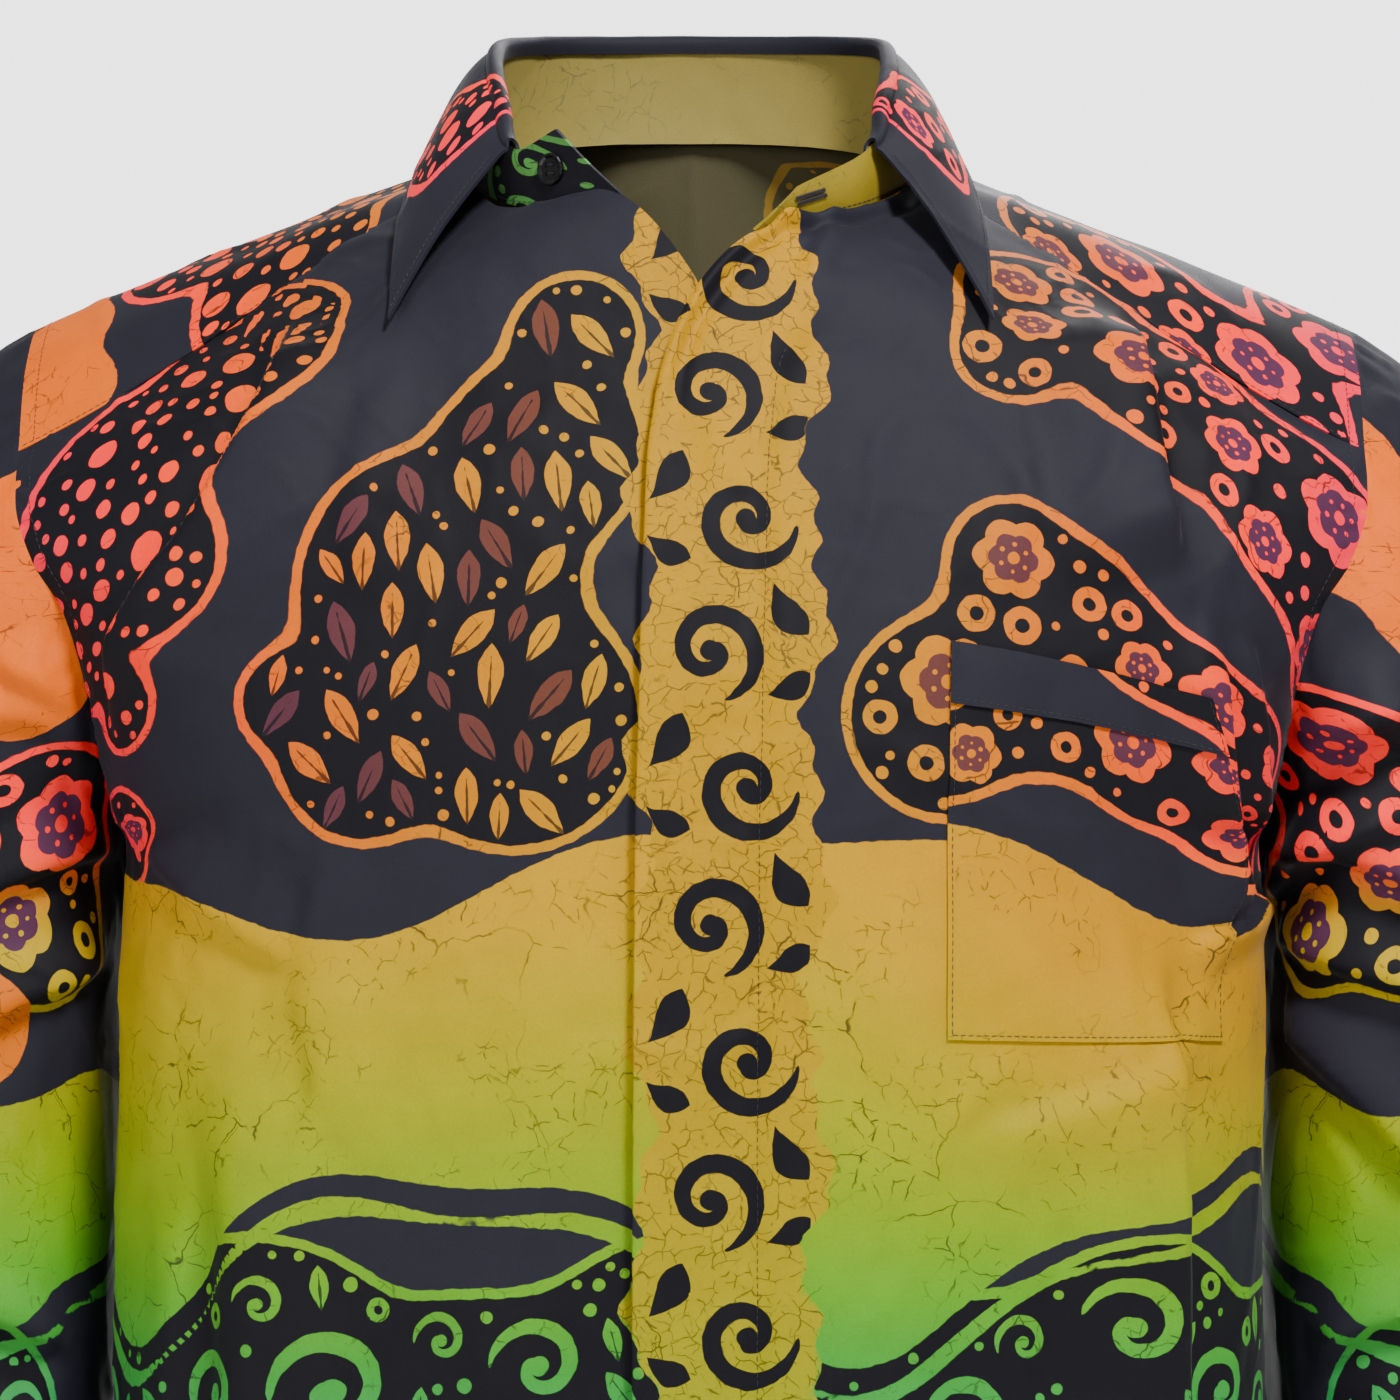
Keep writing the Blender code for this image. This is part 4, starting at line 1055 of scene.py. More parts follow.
# The scrolls round the foot of the whole body.
FOOT = Field(SCROLLS, (
    *((u, v, radius) for v, radius in ((-.50, .110), (-.62, .100)) for u in (-.07, .09, -.24, .25)),
    *((u, -.72, .10) for u in (0, -.2, .2)), *((u, -.43, .060) for u in (-.15, .16, 0)),
))
FRONT = Layout(
    "front",
    (
        Field(LEAVES, ((-.052, -.105, .036), (-.086, -.150, .048), (-.058, -.200, .042),
                       (-.112, -.208, .030), (-.040, -.060, .022), (-.140, -.185, .016))),
        Field(SEEDS, ((-.158, -.052, .036), (-.196, -.084, .040), (-.228, -.118, .032),
                      (-.178, -.128, .022), (-.205, -.165, .018))),
        Field(BLOSSOMS, ((.086, -.196, .034), (.128, -.176, .042), (.172, -.196, .040),
                         (.205, -.226, .026), (.108, -.140, .020), (.215, -.180, .020))),
        Field(BLOSSOMS, ((.128, -.030, .034), (.168, -.062, .036), (.214, -.086, .034),
                         (.246, -.120, .026), (.110, -.062, .018))),
        Field(BLOSSOMS, ((-.232, -.222, .028), (-.272, -.240, .030), (.262, -.236, .026))),
        FOOT,
    ),
    (((-.262, -.100, .020), (-.268, -.145, .026), (-.262, -.178, .012)),
     ((.270, -.150, .020), (.262, -.180, .012))),
    BODY_WAVES, True, 5,
)
BACK = Layout(
    "back",
    (
        Field(BLOSSOMS, ((-.06, -.150, .045), (-.11, -.185, .042), (-.02, -.195, .034))),
        Field(LEAVES, ((.10, -.135, .040), (.145, -.175, .040), (.085, -.195, .032))),
        Field(SEEDS, ((.015, -.120, .026), (.040, -.155, .018), (-.185, -.150, .030),
                      (-.205, -.19, .022))),
        Field(BLOSSOMS, ((.215, -.215, .030), (.235, -.245, .024))),
        FOOT,
    ),
    (), (Wave(-.250, -.375, .018, .032, .390, 2.6), Wave(-.600, -.655, .012, .014, .310, .4)),
    False, 8,
)
YOKE = Layout(
    "yoke",
    (
        Field(BLOSSOMS, ((.150, .02, .036), (.205, .00, .036), (.235, .06, .030))),
        Field(SEEDS, ((-.150, .01, .032), (-.120, .05, .026), (-.175, .07, .034))),
        Field(LEAVES, ((.06, .13, .030), (.11, .15, .028))),
        Field(BLOSSOMS, ((-.09, .15, .030), (-.15, .17, .026))),
    ),
    (((-.232, .01, .022), (-.238, .05, .026), (-.225, .085, .012)),),
    (), False, 13,
)
SLEEVE = Layout(
    "sleeve",
    (
        Field(BLOSSOMS, ((-.135, -.215, .034), (-.120, -.262, .034), (-.165, -.270, .026))),
        Field(LEAVES, ((.040, -.115, .032), (.075, -.150, .034), (.045, -.185, .026))),
        Field(SEEDS, ((-.005, -.235, .030), (.030, -.265, .030), (.010, -.295, .020))),
        Field(BLOSSOMS, ((.130, -.215, .034), (.160, -.255, .034))),
        Field(SCROLLS, ((-.10, -.46, .060), (.0, -.47, .062), (.10, -.46, .060), (-.05, -.60, .060),
                        (.06, -.60, .060))),
    ),
    (((-.075, -.060, .032), (-.082, -.110, .036), (-.070, -.160, .030), (-.088, -.195, .014)),
     ((.10, -.045, .026), (.125, -.080, .026), (.13, -.115, .016)),
     ((-.055, -.305, .022), (-.030, -.312, .016))),
    SLEEVE_WAVES, False, 21,
)
OTHER_SLEEVE = SLEEVE._replace(
    patches=(((-.090, -.050, .030), (-.100, -.100, .038), (-.085, -.150, .034),
              (-.118, -.185, .018)), ((.085, -.075, .028), (.105, -.110, .024)),
             ((-.120, -.308, .024), (-.095, -.3, .016))),
    fields=(
        Field(LEAVES, ((-.045, -.225, .032), (-.020, -.262, .032), (-.055, -.285, .020))),
        Field(BLOSSOMS, ((-.140, -.235, .030), (-.150, -.270, .030))),
        Field(BLOSSOMS, ((.020, -.095, .034), (.045, -.135, .034), (.015, -.165, .026))),
        Field(SEEDS, ((.110, -.200, .034), (.140, -.240, .034), (.085, -.235, .020))),
        SLEEVE.fields[-1],
    ),
    seed=34,
)
COLLAR = Layout(
    "collar",
    (
        Field(SEEDS, ((-.226, .046, .013), (-.216, .030, .013), (-.200, .020, .012),
                      (-.208, .044, .011), (-.186, .030, .010), (-.236, .058, .007))),
        Field(SEEDS, ((-.166, .012, .008), (-.150, .018, .008), (-.132, .012, .007))),
        Field(BLOSSOMS, ((.226, .044, .013), (.214, .028, .014), (.196, .040, .013),
                         (.184, .024, .011), (.236, .057, .007))),
        Field(SEEDS, ((.160, .014, .008), (.140, .020, .009), (.122, .014, .007))),
        Field(LEAVES, ((-.075, .020, .016), (-.045, .030, .016), (-.015, .022, .012))),
        Field(BLOSSOMS, ((.040, .020, .014), (.075, .028, .016))),
    ),
    (), (), False, 41,
)
STAND = Layout("stand", (Field(SCROLLS, ((-.195, .012, .020), (-.225, .008, .020))),),
               (((-.12, .01, .04), (-.05, .01, .06), (.05, .01, .08), (.15, .01, .07),
                 (.21, .01, .04)),),
               (), False, 3)
CUFF = Layout("cuff", (Field(SCROLLS, ((0, -.02, .09), (.1, -.02, .06), (-.1, -.02, .06))),),
              (), (Wave(-.016, -.030, .003, .003, .09, 0),), False, 44)
print("layouts", [one.name for one in (FRONT, BACK, YOKE, SLEEVE, COLLAR, STAND, CUFF)])

# %% [markdown]
# ## The fronts
#
# Each front is cut in one from hem to yoke. The left one laps over the right one, with a strip
# behind its folded edge that hides the buttons, so it stands a few millimetres proud there. Its
# edge is a real fold: a few more columns turn round it and run back underneath.

# %% Shape the fronts
LAP_LIFT = .0054
LAP_FLAT, LAP_END = .034, .050
START_ROW = 2
ROLL_END = .0130
CORNER_CREASES = (
    Crease(((.0375, -.004), (.0360, -.017), (.0300, -.036)), .0048, .011, .0048, .0016),
    Crease(((.0520, -.016), (.0470, -.030), (.0380, -.052)), .0022, .010, .0050, .0004),
)
FRONT_MOTIFS = np.vstack([sow(FRONT, (-.30, -.76), (.30, .02)), tendrils(-.745, .01)])
RIGHT_CREASES = (
    Crease(((-.137, -.052), (-.138, -.080), (-.147, -.102), (-.165, -.136), (-.180, -.153),
            (-.193, -.178), (-.199, -.214)), .0125, .050, .0078, .0044),
    Crease(((-.157, -.300), (-.150, -.42), (-.146, -.60), (-.150, -.72)), .0070, .040, .018, .001),
    Crease(((-.060, -.36), (-.070, -.50), (-.080, -.70)), .0039, .030, .030, 0),
    Crease(((-.105, -.60), (-.122, -.47), (-.118, -.385)), .0036, .022, .012, .001),
    Crease(((-.180, -.62), (-.184, -.46), (-.174, -.345)), .0045, .020, .010, .002),
    Crease(((-.196, -.238), (-.165, -.262), (-.130, -.283)), .0036, .022, .007, .001),
    Crease(((-.100, -.075), (-.112, -.120), (-.105, -.165)), .0022, .030, .012, 0),
    Crease(((-.120, -.235), (-.128, -.290), (-.118, -.345)), .0028, .028, .010, 0),
)
LEFT_CREASES = (
    Crease(((.166, -.150), (.157, -.125), (.154, -.104), (.150, -.075), (.146, -.046)),
           .0110, .052, .0078, .0042),
    Crease(((.192, -.280), (.184, -.245), (.178, -.205), (.175, -.160)), .0084, .020, .0065, .0038),
    Crease(((.152, -.715), (.157, -.52), (.160, -.40), (.157, -.33), (.155, -.272)),
           .0110, .048, .0080, .0044),
    Crease(((.208, -.262), (.192, -.274), (.168, -.279)), .0049, .012, .005, .002),
    Crease(((.200, -.245), (.195, -.205), (.188, -.165)), .0056, .014, .006, .002),
    Crease(((.070, -.70), (.066, -.50), (.060, -.36)), .0039, .030, .030, 0),
    Crease(((.186, -.300), (.140, -.330), (.090, -.345)), .0034, .024, .012, .001),
    Crease(((.100, -.165), (.112, -.120), (.100, -.070)), .0022, .030, .012, 0),
)


def front_points(form, edges, left):
    """The front's grid from the hem up, its columns from the front edge out to the side."""
    numbers = form.even_rows(0, form.last, FINE)
    near = np.concatenate([np.arange(0, ROLL_END, FINE / 2),
                           np.arange(ROLL_END, LAP_END + FINE, FINE)])
    columns = round((form.length(START_ROW) + .019 - near[-1]) / FINE)
    points, offs = [], []
    for v in numbers:
        edge = smooth(edges, v) if v < form.number("neck") else 0.0
        span = form.length(v) - edge
        off = np.concatenate([near, np.linspace(near[-1], span, columns + 1)[1:]])
        points.append(form.line(v, edge + off))
        offs.append(off)
    points, offs = np.array(points), np.array(offs)
    flat = cut_map(points, points[:, 0, 0], -.304, int(np.argmin(abs(numbers - START_ROW))))
    normals = normals_of(points)
    if left:
        fade = np.clip(form.number("stand") - numbers, 0, 1)[:, None]
        lift = LAP_LIFT * fade * ease((LAP_END - offs) / (LAP_END - LAP_FLAT))
        points = points + normals * lift[..., None]
    return numbers, points, normals, offs, flat


def front_held(form, numbers, offs):
    """0 at the sewn edges, a quarter at the lapped edge, 1 where the cloth is free."""
    side = offs[:, -1:] - offs
    top = (form.last - numbers)[:, None] / 1.2
    return ease(side / .026) * ease(top) * (.25 + .75 * ease((offs - .030) / .03))


def corner_rumpled(points, normals, offs):
    """The lapped front's edge stands up as a soft roll at the neck, and its corner is crumpled."""
    high = ease((points[..., 2] + .115) / .055)
    roll = (.0021 * np.exp(-((offs - .0024) / .0024) ** 2)
            - .0017 * np.exp(-((offs - .0078) / .0028) ** 2))
    points = points + normals * (roll * high)[..., None]
    return creased(points, normals, CORNER_CREASES, points[..., 0], points[..., 2],
                   ease((points[..., 2] + .080) / .030))


def make_front(form, edges, creases, left):
    numbers, points, normals, offs, flat = front_points(form, edges, left)
    open_row = int(np.searchsorted(numbers, form.number("vee") - (.2 if left else 1.6)))
    if not left:
        points[..., 0] *= -1
        normals[..., 0] *= -1
        flat[..., 0] *= -1
    held = front_held(form, numbers, offs)
    points = creased(points, normals, creases, points[..., 0], points[..., 2], held)
    side = offs[:, -1:] - offs
    points = rumpled(points, normals, .0019, .050, (1, 1, 1.9), 3.3, ease(side / .02))
    points = rumpled(points, normals, .0006, .016, (1, 1, 1.4), 8.8, ease(side / .01))
    points += normals * puckers(points[..., 2], side, seed=left)[..., None]
    along_lap = puckers(points[..., 2], np.abs(offs - (LAP_FLAT - .002)), .017, .00035, .006)
    points += normals * along_lap[..., None]
    if left:
        points = corner_rumpled(points, normals, offs)
    return points, normals_of(points), flat, offs, open_row


# The fold's own round, as steps out and down, then the columns behind it and how far down they lie.
EDGE_TURN = ((.0005, .0004), (.0006, .0009), (.0001, .0014))
UNDER_COLUMNS, UNDER_DOWN = 9, .0014
# The fold closes over this many rows at its top, and keeps its depth for most of them.
CLOSING_ROWS, CLOSING_DEPTH = 6, 5


def edge_turned(points, normals, flat, ends_at):
    """Turn the first column round a fold and run it back under the next ones, up to a row."""
    turning = ease((ends_at - np.arange(len(points))) / CLOSING_ROWS)[:, None]
    edge = points[:, 0]
    out = unit(edge - points[:, 1])
    new = [edge + turning * (out * reach - normals[:, 0] * down) for reach, down in EDGE_TURN]
    row = np.arange(len(points))
    for k in range(1, UNDER_COLUMNS + 1):
        place = turning[:, 0] * k
        column, part = np.floor(place).astype(int), (place % 1)[:, None]
        over, facing = (grid[row, column] * (1 - part) + grid[row, column + 1] * part
                        for grid in (points, normals))
        new.append(over - facing * UNDER_DOWN * np.minimum(turning * CLOSING_DEPTH, 1))
    added = np.stack(new[::-1], axis=1)
    step = np.linalg.norm(np.diff(np.concatenate([added, points[:, :1]], axis=1), axis=1), axis=-1)
    back = np.cumsum(step[:, ::-1], axis=1)[:, ::-1]
    sign = np.sign(flat[:, 1, 0] - flat[:, 0, 0])[:, None]
    new_flat = np.stack([flat[:, :1, 0] - sign * back, np.repeat(flat[:, :1, 1], len(new), 1)], -1)
    return (np.concatenate([added, points], 1),
            np.concatenate([np.repeat(normals[:, :1], len(new), 1), normals], 1),
            np.concatenate([new_flat, flat], 1))


def seam_tucks(points, normals, flat, sides):
    """Tuck several edges of a grid, and carry its flat places along."""
    for side in sides:
        axis = 0 if side[1] == "row" else 1
        edge = flat.take([0 if side[0] == "first" else -1], axis)
        points, normals = tucked(points, normals, side)
        flat = np.concatenate([edge, flat] if side[0] == "first" else [flat, edge], axis)
    return points, normals, flat


front_cloth = {}
for name, form, edges, creases in (("front_left", left_form, EDGE_LEFT, LEFT_CREASES),
                                   ("front_right", right_form, EDGE_RIGHT, RIGHT_CREASES)):
    points, normals, flat, offs, open_row = make_front(form, edges, creases, name == "front_left")
    front_cloth[name] = points, normals, flat, offs
    shell = seam_tucks(*edge_turned(points, normals, flat, open_row), (("last", "row"),))
    piece = printed(name, [shell], FRONT, FRONT_MOTIFS, weld=True)

# %% [markdown]
# ## Fly strip, pocket and band
#
# What lies on a panel takes the panel's own points, moved out by its thickness, so it follows every
# crease under it. The pocket was cut from another place in the print, so its pattern breaks off at
# its edges, and again at the turned band across its top.

# %% Make what lies on the left front
points, normals, flat, offs = front_cloth["front_left"]
FLY_WIDTH, FLY_DOWN = .040, .0021
POCKET_SIDE, POCKET_WIDTH, POCKET_REACH = .1045, .114, .72
POCKET_OFF, BAND_OFF = .0010, .0020
BAND_HEIGHT, POCKET_COLUMN = .0205, 45

FLY_TOP, FLY_SHIFT = -.066, (.3, .0)
behind = (slice(1, int(np.argmin(abs(points[:, 0, 2] - FLY_TOP)))),
          slice(1, int(np.searchsorted(offs[0], FLY_WIDTH)) + 1))
strip = (points[behind] - normals[behind] * FLY_DOWN, normals[behind],
         flat[behind] + np.array(FLY_SHIFT))
fly = printed("fly_placket", [strip], FRONT, FRONT_MOTIFS)


def pocket_block(low_z, high_z, off, shift):
    """A block of the left front from the pocket's side out, resampled to the pocket's width."""
    low, high = (int(np.argmin(abs(points[:, POCKET_COLUMN, 2] - z))) for z in (low_z, high_z))
    block = []
    for row in range(low, high + 1):
        far = min(POCKET_SIDE + POCKET_WIDTH, POCKET_REACH * offs[row, -1])
        wanted = np.linspace(POCKET_SIDE, far, round(POCKET_WIDTH / FINE) + 1)
        over, out, place = (read_at(wanted, offs[row], grid[row])
                            for grid in (points, normals, flat))
        block.append((over + unit(out) * off, out, place + np.array(shift)))
    return tuple(map(np.array, zip(*block)))


POCKET_TOP, POCKET_FOOT = -.1705, -.305
pocket_cloth = pocket_block(POCKET_FOOT, POCKET_TOP - .001, POCKET_OFF, (.004, -.006))
pocket = printed("pocket", [pocket_cloth], FRONT, FRONT_MOTIFS)
band_cloth = pocket_block(POCKET_TOP - BAND_HEIGHT, POCKET_TOP, BAND_OFF, (.004, .085))
band = printed("pocket_band", [band_cloth], FRONT, FRONT_MOTIFS)

# %% [markdown]
# ## Yoke and back
#
# The yoke goes over both shoulders in one piece, open round the neck. It is laid out as two halves,
# and their points are merged down the centre back. Both hang from the same points as the fronts.

# %% Draw the neck edge
FLIP = np.array((-1, 1, 1))


def neck_edge(form, edges):
    """The sewn neck edge of one side, from the front to the centre back."""
    stand = form.number("stand")
    front = [form.line(stand, np.array([edges[stand]]))[0], form.line(stand + 1, np.array([0.0]))[0]]
    return np.array(front + [yoke_form.controls[k][0] for k in range(7)])


right_neck = neck_edge(right_form, EDGE_RIGHT) * FLIP
left_neck = neck_edge(left_form, EDGE_LEFT)
neck_line = np.vstack([right_neck, left_neck[-2::-1]])
print("neck edge", round(lengths(neck_line)[-1] * 1000), "mm round")

# %% Make the yoke
numbers = yoke_form.even_rows(0, yoke_form.last, MEDIUM)
columns = round(yoke_form.length(yoke_form.number("back_neck_1")) / MEDIUM)
half = np.array([yoke_form.line(v, np.linspace(0, yoke_form.length(v), columns)) for v in numbers])
half[:, 0, 0] = np.maximum(half[:, 0, 0], 0)
half[numbers >= yoke_form.number("centre_neck"), 0, 0] = 0
neck_rows = numbers <= yoke_form.number("centre_neck")
neck_there = smooth_all(neck_line, len(neck_line) - 3 - numbers[neck_rows])
off_neck = half[neck_rows] - half[neck_rows, :1]
near_neck = 1 - ease(np.linalg.norm(off_neck, axis=-1) / .03)
half[neck_rows] += (neck_there - half[neck_rows, 0])[:, None] * near_neck[..., None]
neck_gap = np.linalg.norm(half[:, :, None] - half[neck_rows, 0], axis=-1).min(axis=-1)
middle = ease(np.minimum(numbers, yoke_form.last - numbers) / 1.2)[:, None]
yoke_parts = []
for side in (1, -1):
    points = half * (side, 1, 1)
    normals = normals_of(points, upward=True)
    flat = cut_map(points, half[:, 0, 0], 0, over=True) * (side, 1)
    off_arm = (points[:, -1:, 0] - points[..., 0]) * side
    sewn = ease(neck_gap / .025) * ease(half[..., 0] / .02) * ease(off_arm / .03)
    points = rumpled(points, normals, .0018, .05, seed=9.1, held=sewn * middle)
    yoke_parts.append((points, normals, flat))
yoke = printed("yoke", yoke_parts, YOKE, sow(YOKE, (-.27, -.02), (.27, .26)), weld=True)

# %% Make the back
BACK_CREASES = (
    Crease(((.175, -.165), (.150, -.205), (.140, -.270), (.150, -.335)), .0098, .045, .010, .003),
    Crease(((-.178, -.170), (-.150, -.215), (-.143, -.275), (-.155, -.320)),
           .0091, .045, .010, .003),
    Crease(((.100, -.715), (.104, -.55), (.112, -.42), (.106, -.36)), .0098, .040, .022, .002),
    Crease(((-.112, -.71), (-.102, -.54), (-.088, -.40), (-.092, -.34)), .0091, .040, .022, .002),
    Crease(((.008, -.70), (.002, -.56), (.010, -.43)), .0056, .040, .035, 0),
    Crease(((.150, -.262), (.100, -.287), (.040, -.292), (-.030, -.286)), .0045, .022, .012, .001),
    Crease(((-.150, -.250), (-.110, -.272), (-.060, -.276)), .0036, .020, .011, .001),
    Crease(((.170, -.70), (.166, -.52), (.160, -.42)), .0070, .030, .018, .001),
    Crease(((-.165, -.70), (-.168, -.50), (-.160, -.40)), .0070, .030, .018, .001),
)
numbers = back_form.even_rows(0, back_form.last, MEDIUM)[::-1]
underarm = back_form.number("underarm")
across = np.linspace(-1, 1, 2 * round(back_form.length(underarm) / MEDIUM) + 1)
points = np.array([back_form.line(v, across * back_form.length(v)) for v in numbers])
normals = normals_of(points)
spans = np.array([back_form.length(v) for v in numbers])
underarm_row = int(np.argmin(abs(numbers - underarm)))
flat = cut_map(points, -spans, back_form.controls[underarm, 0, 2], underarm_row)
side = spans[:, None] - np.abs(across) * spans[:, None]
top = numbers[:, None]
held = ease(side / .028) * ease(top / 1.5)
points = creased(points, normals, BACK_CREASES, points[..., 0], points[..., 2], held)
points = rumpled(points, normals, .0020, .05, (1, 1, 1.8), 17.7, ease(side / .02) * ease(top / .7))
points = rumpled(points, normals, .0006, .016, (1, 1, 1.4), 8.1, ease(side / .01) * ease(top / .7))
points += normals * puckers(points[..., 2], side, seed=2)[..., None]
back_cloth = points, normals
shell = seam_tucks(points, normals_of(points), flat,
                   (("last", "row"), ("first", "column"), ("last", "column")))
back = printed("back", [shell], BACK, sow(BACK, (-.33, -.76), (.33, -.08)))

# %% [markdown]
# ## Collar
#
# The stand rises from the neck seam. The fall starts inside it, rolls over its top edge and comes
# down outside, springing off the stand and then lying on the shoulders. Both are cut as long bands,
# so they are swept round the neck: at each place round it, a neck point, a fold point and the
# fall's outer edge fix the section.

# %% Sections round the neck
FOLDS = np.array(((.063, -.056, .0045), (.068, -.037, .0215), (.071, -.020, .0340),
                  (.072, -.003, .0435), (.070, .020, .0520), (.055, .044, .0570),
                  (.031, .059, .0595), (0, .064, .0605)))
DROPS = np.array(((.105, -.100, -.060), (.105, -.072, -.033), (.103, -.042, -.010),
                  (.099, -.008, .006), (.093, .026, .016), (.076, .060, .020), (.043, .077, .021),
                  (0, .082, .021)))
STAND_CORNERS = {"left": (.037, -.081, -.012), "right": (.048, -.074, .009)}
fold_line = np.vstack([[np.array(STAND_CORNERS["right"]) * FLIP], FOLDS * FLIP,
                       FOLDS[-2::-1], [STAND_CORNERS["left"]]])
drop_line = np.vstack([[DROPS[0] * FLIP], DROPS * FLIP, DROPS[-2::-1], [DROPS[0]]])
LAST_SECTION = len(neck_line) - 1


def sections(low, high, pitch):
    """Section numbers from low to high with even steps along the fold."""
    tries = np.linspace(low, high, 600)
    reach = lengths(np.array([smooth(fold_line, k) for k in tries]))
    return np.interp(np.linspace(0, reach[-1], round(reach[-1] / pitch) + 1), reach, tries)


def section_frames(numbers):
    """Neck, fold and drop points, and the directions up the stand and out from it."""
    neck, fold, drop = (smooth_all(line, numbers) for line in (neck_line, fold_line, drop_line))
    rise = unit(fold - neck)
    along = (smooth_all(neck_line, np.minimum(numbers + .5, LAST_SECTION))
             - smooth_all(neck_line, np.maximum(numbers - .5, 0)))
    out = unit(np.cross(along, rise))
    facing = np.sum(out * (neck * (1, 1, 0)), axis=-1)
    return neck, fold, drop, rise, out * np.sign(facing)[:, None]


def centred(line, heights):
    """Flat places on a band: how far along it from its middle, and how high up it."""
    reach = lengths(line)
    return np.stack(np.broadcast_arrays(reach[None] - reach[-1] / 2, heights), -1)


STAND_ROWS, STAND_BOW, STAND_THICK = 15, .0016, .0014
# The stand starts a little above its seam in front, and below it behind, where the yoke drops away.
STAND_LOW, STAND_LOWER_BEHIND = .02, .12

numbers = sections(0, LAST_SECTION, FINE)
neck, fold, drop, rise, out = section_frames(numbers)
behind = ease((numbers - 3) / 2) * ease((LAST_SECTION - 3 - numbers) / 2)
low = STAND_LOW - STAND_LOWER_BEHIND * behind
up = (low + (1 - low) * np.linspace(0, 1, STAND_ROWS)[:, None])[..., None]
stand_points = neck + (fold - neck) * up + out * (STAND_BOW * 4 * up * (1 - up))
stand_flat = centred(fold, up[..., 0] * np.linalg.norm(fold - neck, axis=-1))
stand_normals = np.broadcast_to(out, stand_points.shape)
stand_points = rumpled(stand_points, stand_normals, .0006, .03, seed=4.4)
stand = printed("collar_stand", [(stand_points, stand_normals, stand_flat)], STAND,
                sow(STAND, (-.26, -.01), (.26, .04)), STAND_THICK, solid=OLIVE, lines=STAND_GREEN)

# %% Make the fall
ROLL = np.array(((-.0020, -.0030), (-.0024, .0005), (-.0018, .0026), (.0002, .0040), (.0026, .0036),
                 (.0040, .0016), (.0042, -.0006)))
ROLL_ROWS, DRAPE_ROWS = 13, 29
FALL_BOW, FALL_BOW_BACK, FALL_KICK, FALL_THICK = .010, .018, .003, .0012

numbers = sections(1, LAST_SECTION - 1, FINE)
neck, fold, drop, rise, out = section_frames(numbers)
middle = LAST_SECTION / 2
bow = (FALL_BOW_BACK + (FALL_BOW - FALL_BOW_BACK) * abs(numbers - middle) / middle)[:, None]
turned = fold + out * ROLL[-1][0]
rolled = [fold + out * o + rise * u
          for o, u in smooth_all(ROLL, np.linspace(0, len(ROLL) - 1, ROLL_ROWS))]
draped = bezier(np.linspace(0, 1, DRAPE_ROWS)[1:, None, None], turned,
                turned + (drop - turned) * .3 + out * bow / 2,
                turned + (drop - turned) * .7 + out * FALL_KICK, drop)
fall_points = np.concatenate([np.array(rolled), draped])[::-1]
steps = np.linalg.norm(np.diff(fall_points, axis=0), axis=-1).mean(axis=1)
down = np.concatenate([[0], np.cumsum(steps)])
fall_flat = centred(drop, down[:, None])
fall_normals = normals_of(fall_points)
free = ease(down[::-1, None] / .03)
fall_points = rumpled(fall_points, fall_normals, .0010, .035, seed=6.2, held=free)
fall = printed("collar_fall", [(fall_points, fall_normals, fall_flat)], COLLAR,
               sow(COLLAR, (-.27, -.01), (.27, .09)), FALL_THICK)

# %% [markdown]
# ## Sleeves and cuffs
#
# A sleeve is a tube that starts along the armhole, turns down over the shoulder and hangs beside the
# body. Its first ring follows the edges of the back, the front and the yoke exactly. Further down,
# rings of a squarish oval take over, flatter on the side that lies against the body.

# %% Rings of a sleeve
SleeveRow = namedtuple("SleeveRow", "centre half_width half_depth")
SLEEVE_ROWS = (
    SleeveRow((.2765, .000, -.300), .0650, .070),
    SleeveRow((.2755, .004, -.430), .0610, .066),
    SleeveRow((.2770, -.012, -.535), .0540, .058),
    SleeveRow((.2790, -.028, -.600), .0410, .043),
)
CAP_LEAD_TOP, CAP_LEAD_UNDER = .075, .016
CAP_ARRIVE_TOP, CAP_ARRIVE_UNDER = .110, .020
SQUARE_SIDE = 3.0
SLEEVE_ROUND, SLEEVE_COLUMNS = .42, 150
CAP_RINGS, ARM_RINGS = 76, 98


def oval(centre, half_width, half_depth, turn):
    """Points of a sleeve section: turn 0 is against the body, a quarter is the front."""
    angle = TURN * np.asarray(turn)
    across, forward = -np.cos(angle), -np.sin(angle)
    power = 2 + (SQUARE_SIDE - 2) * np.maximum(0, -across)
    flat = [np.sign(part) * np.abs(part) ** (2 / power) for part in (across, forward)]
    off = np.stack([half_width * flat[0], half_depth * flat[1], 0 * flat[0]], -1)
    return np.asarray(centre) + off


def armhole_loop():
    """The armhole edge from the back yoke corner down, under the arm, up the front and back over."""
    outer = [smooth_all(form.controls[:, 3], np.linspace(low, high, 300)) for form, low, high in (
        (back_form, 0, back_form.number("underarm")),
        (left_form, left_form.number("underarm"), left_form.last), (yoke_form, 0, yoke_form.last))]
    loop = np.concatenate([outer[0], outer[1][1:], outer[2][1:]])
    reach = lengths(loop)
    turns = (reach - reach[len(outer[0]) - 1]) / reach[-1]
    even = np.linspace(turns[0], turns[-1], SLEEVE_COLUMNS)
    return read_at(even, turns, loop), even


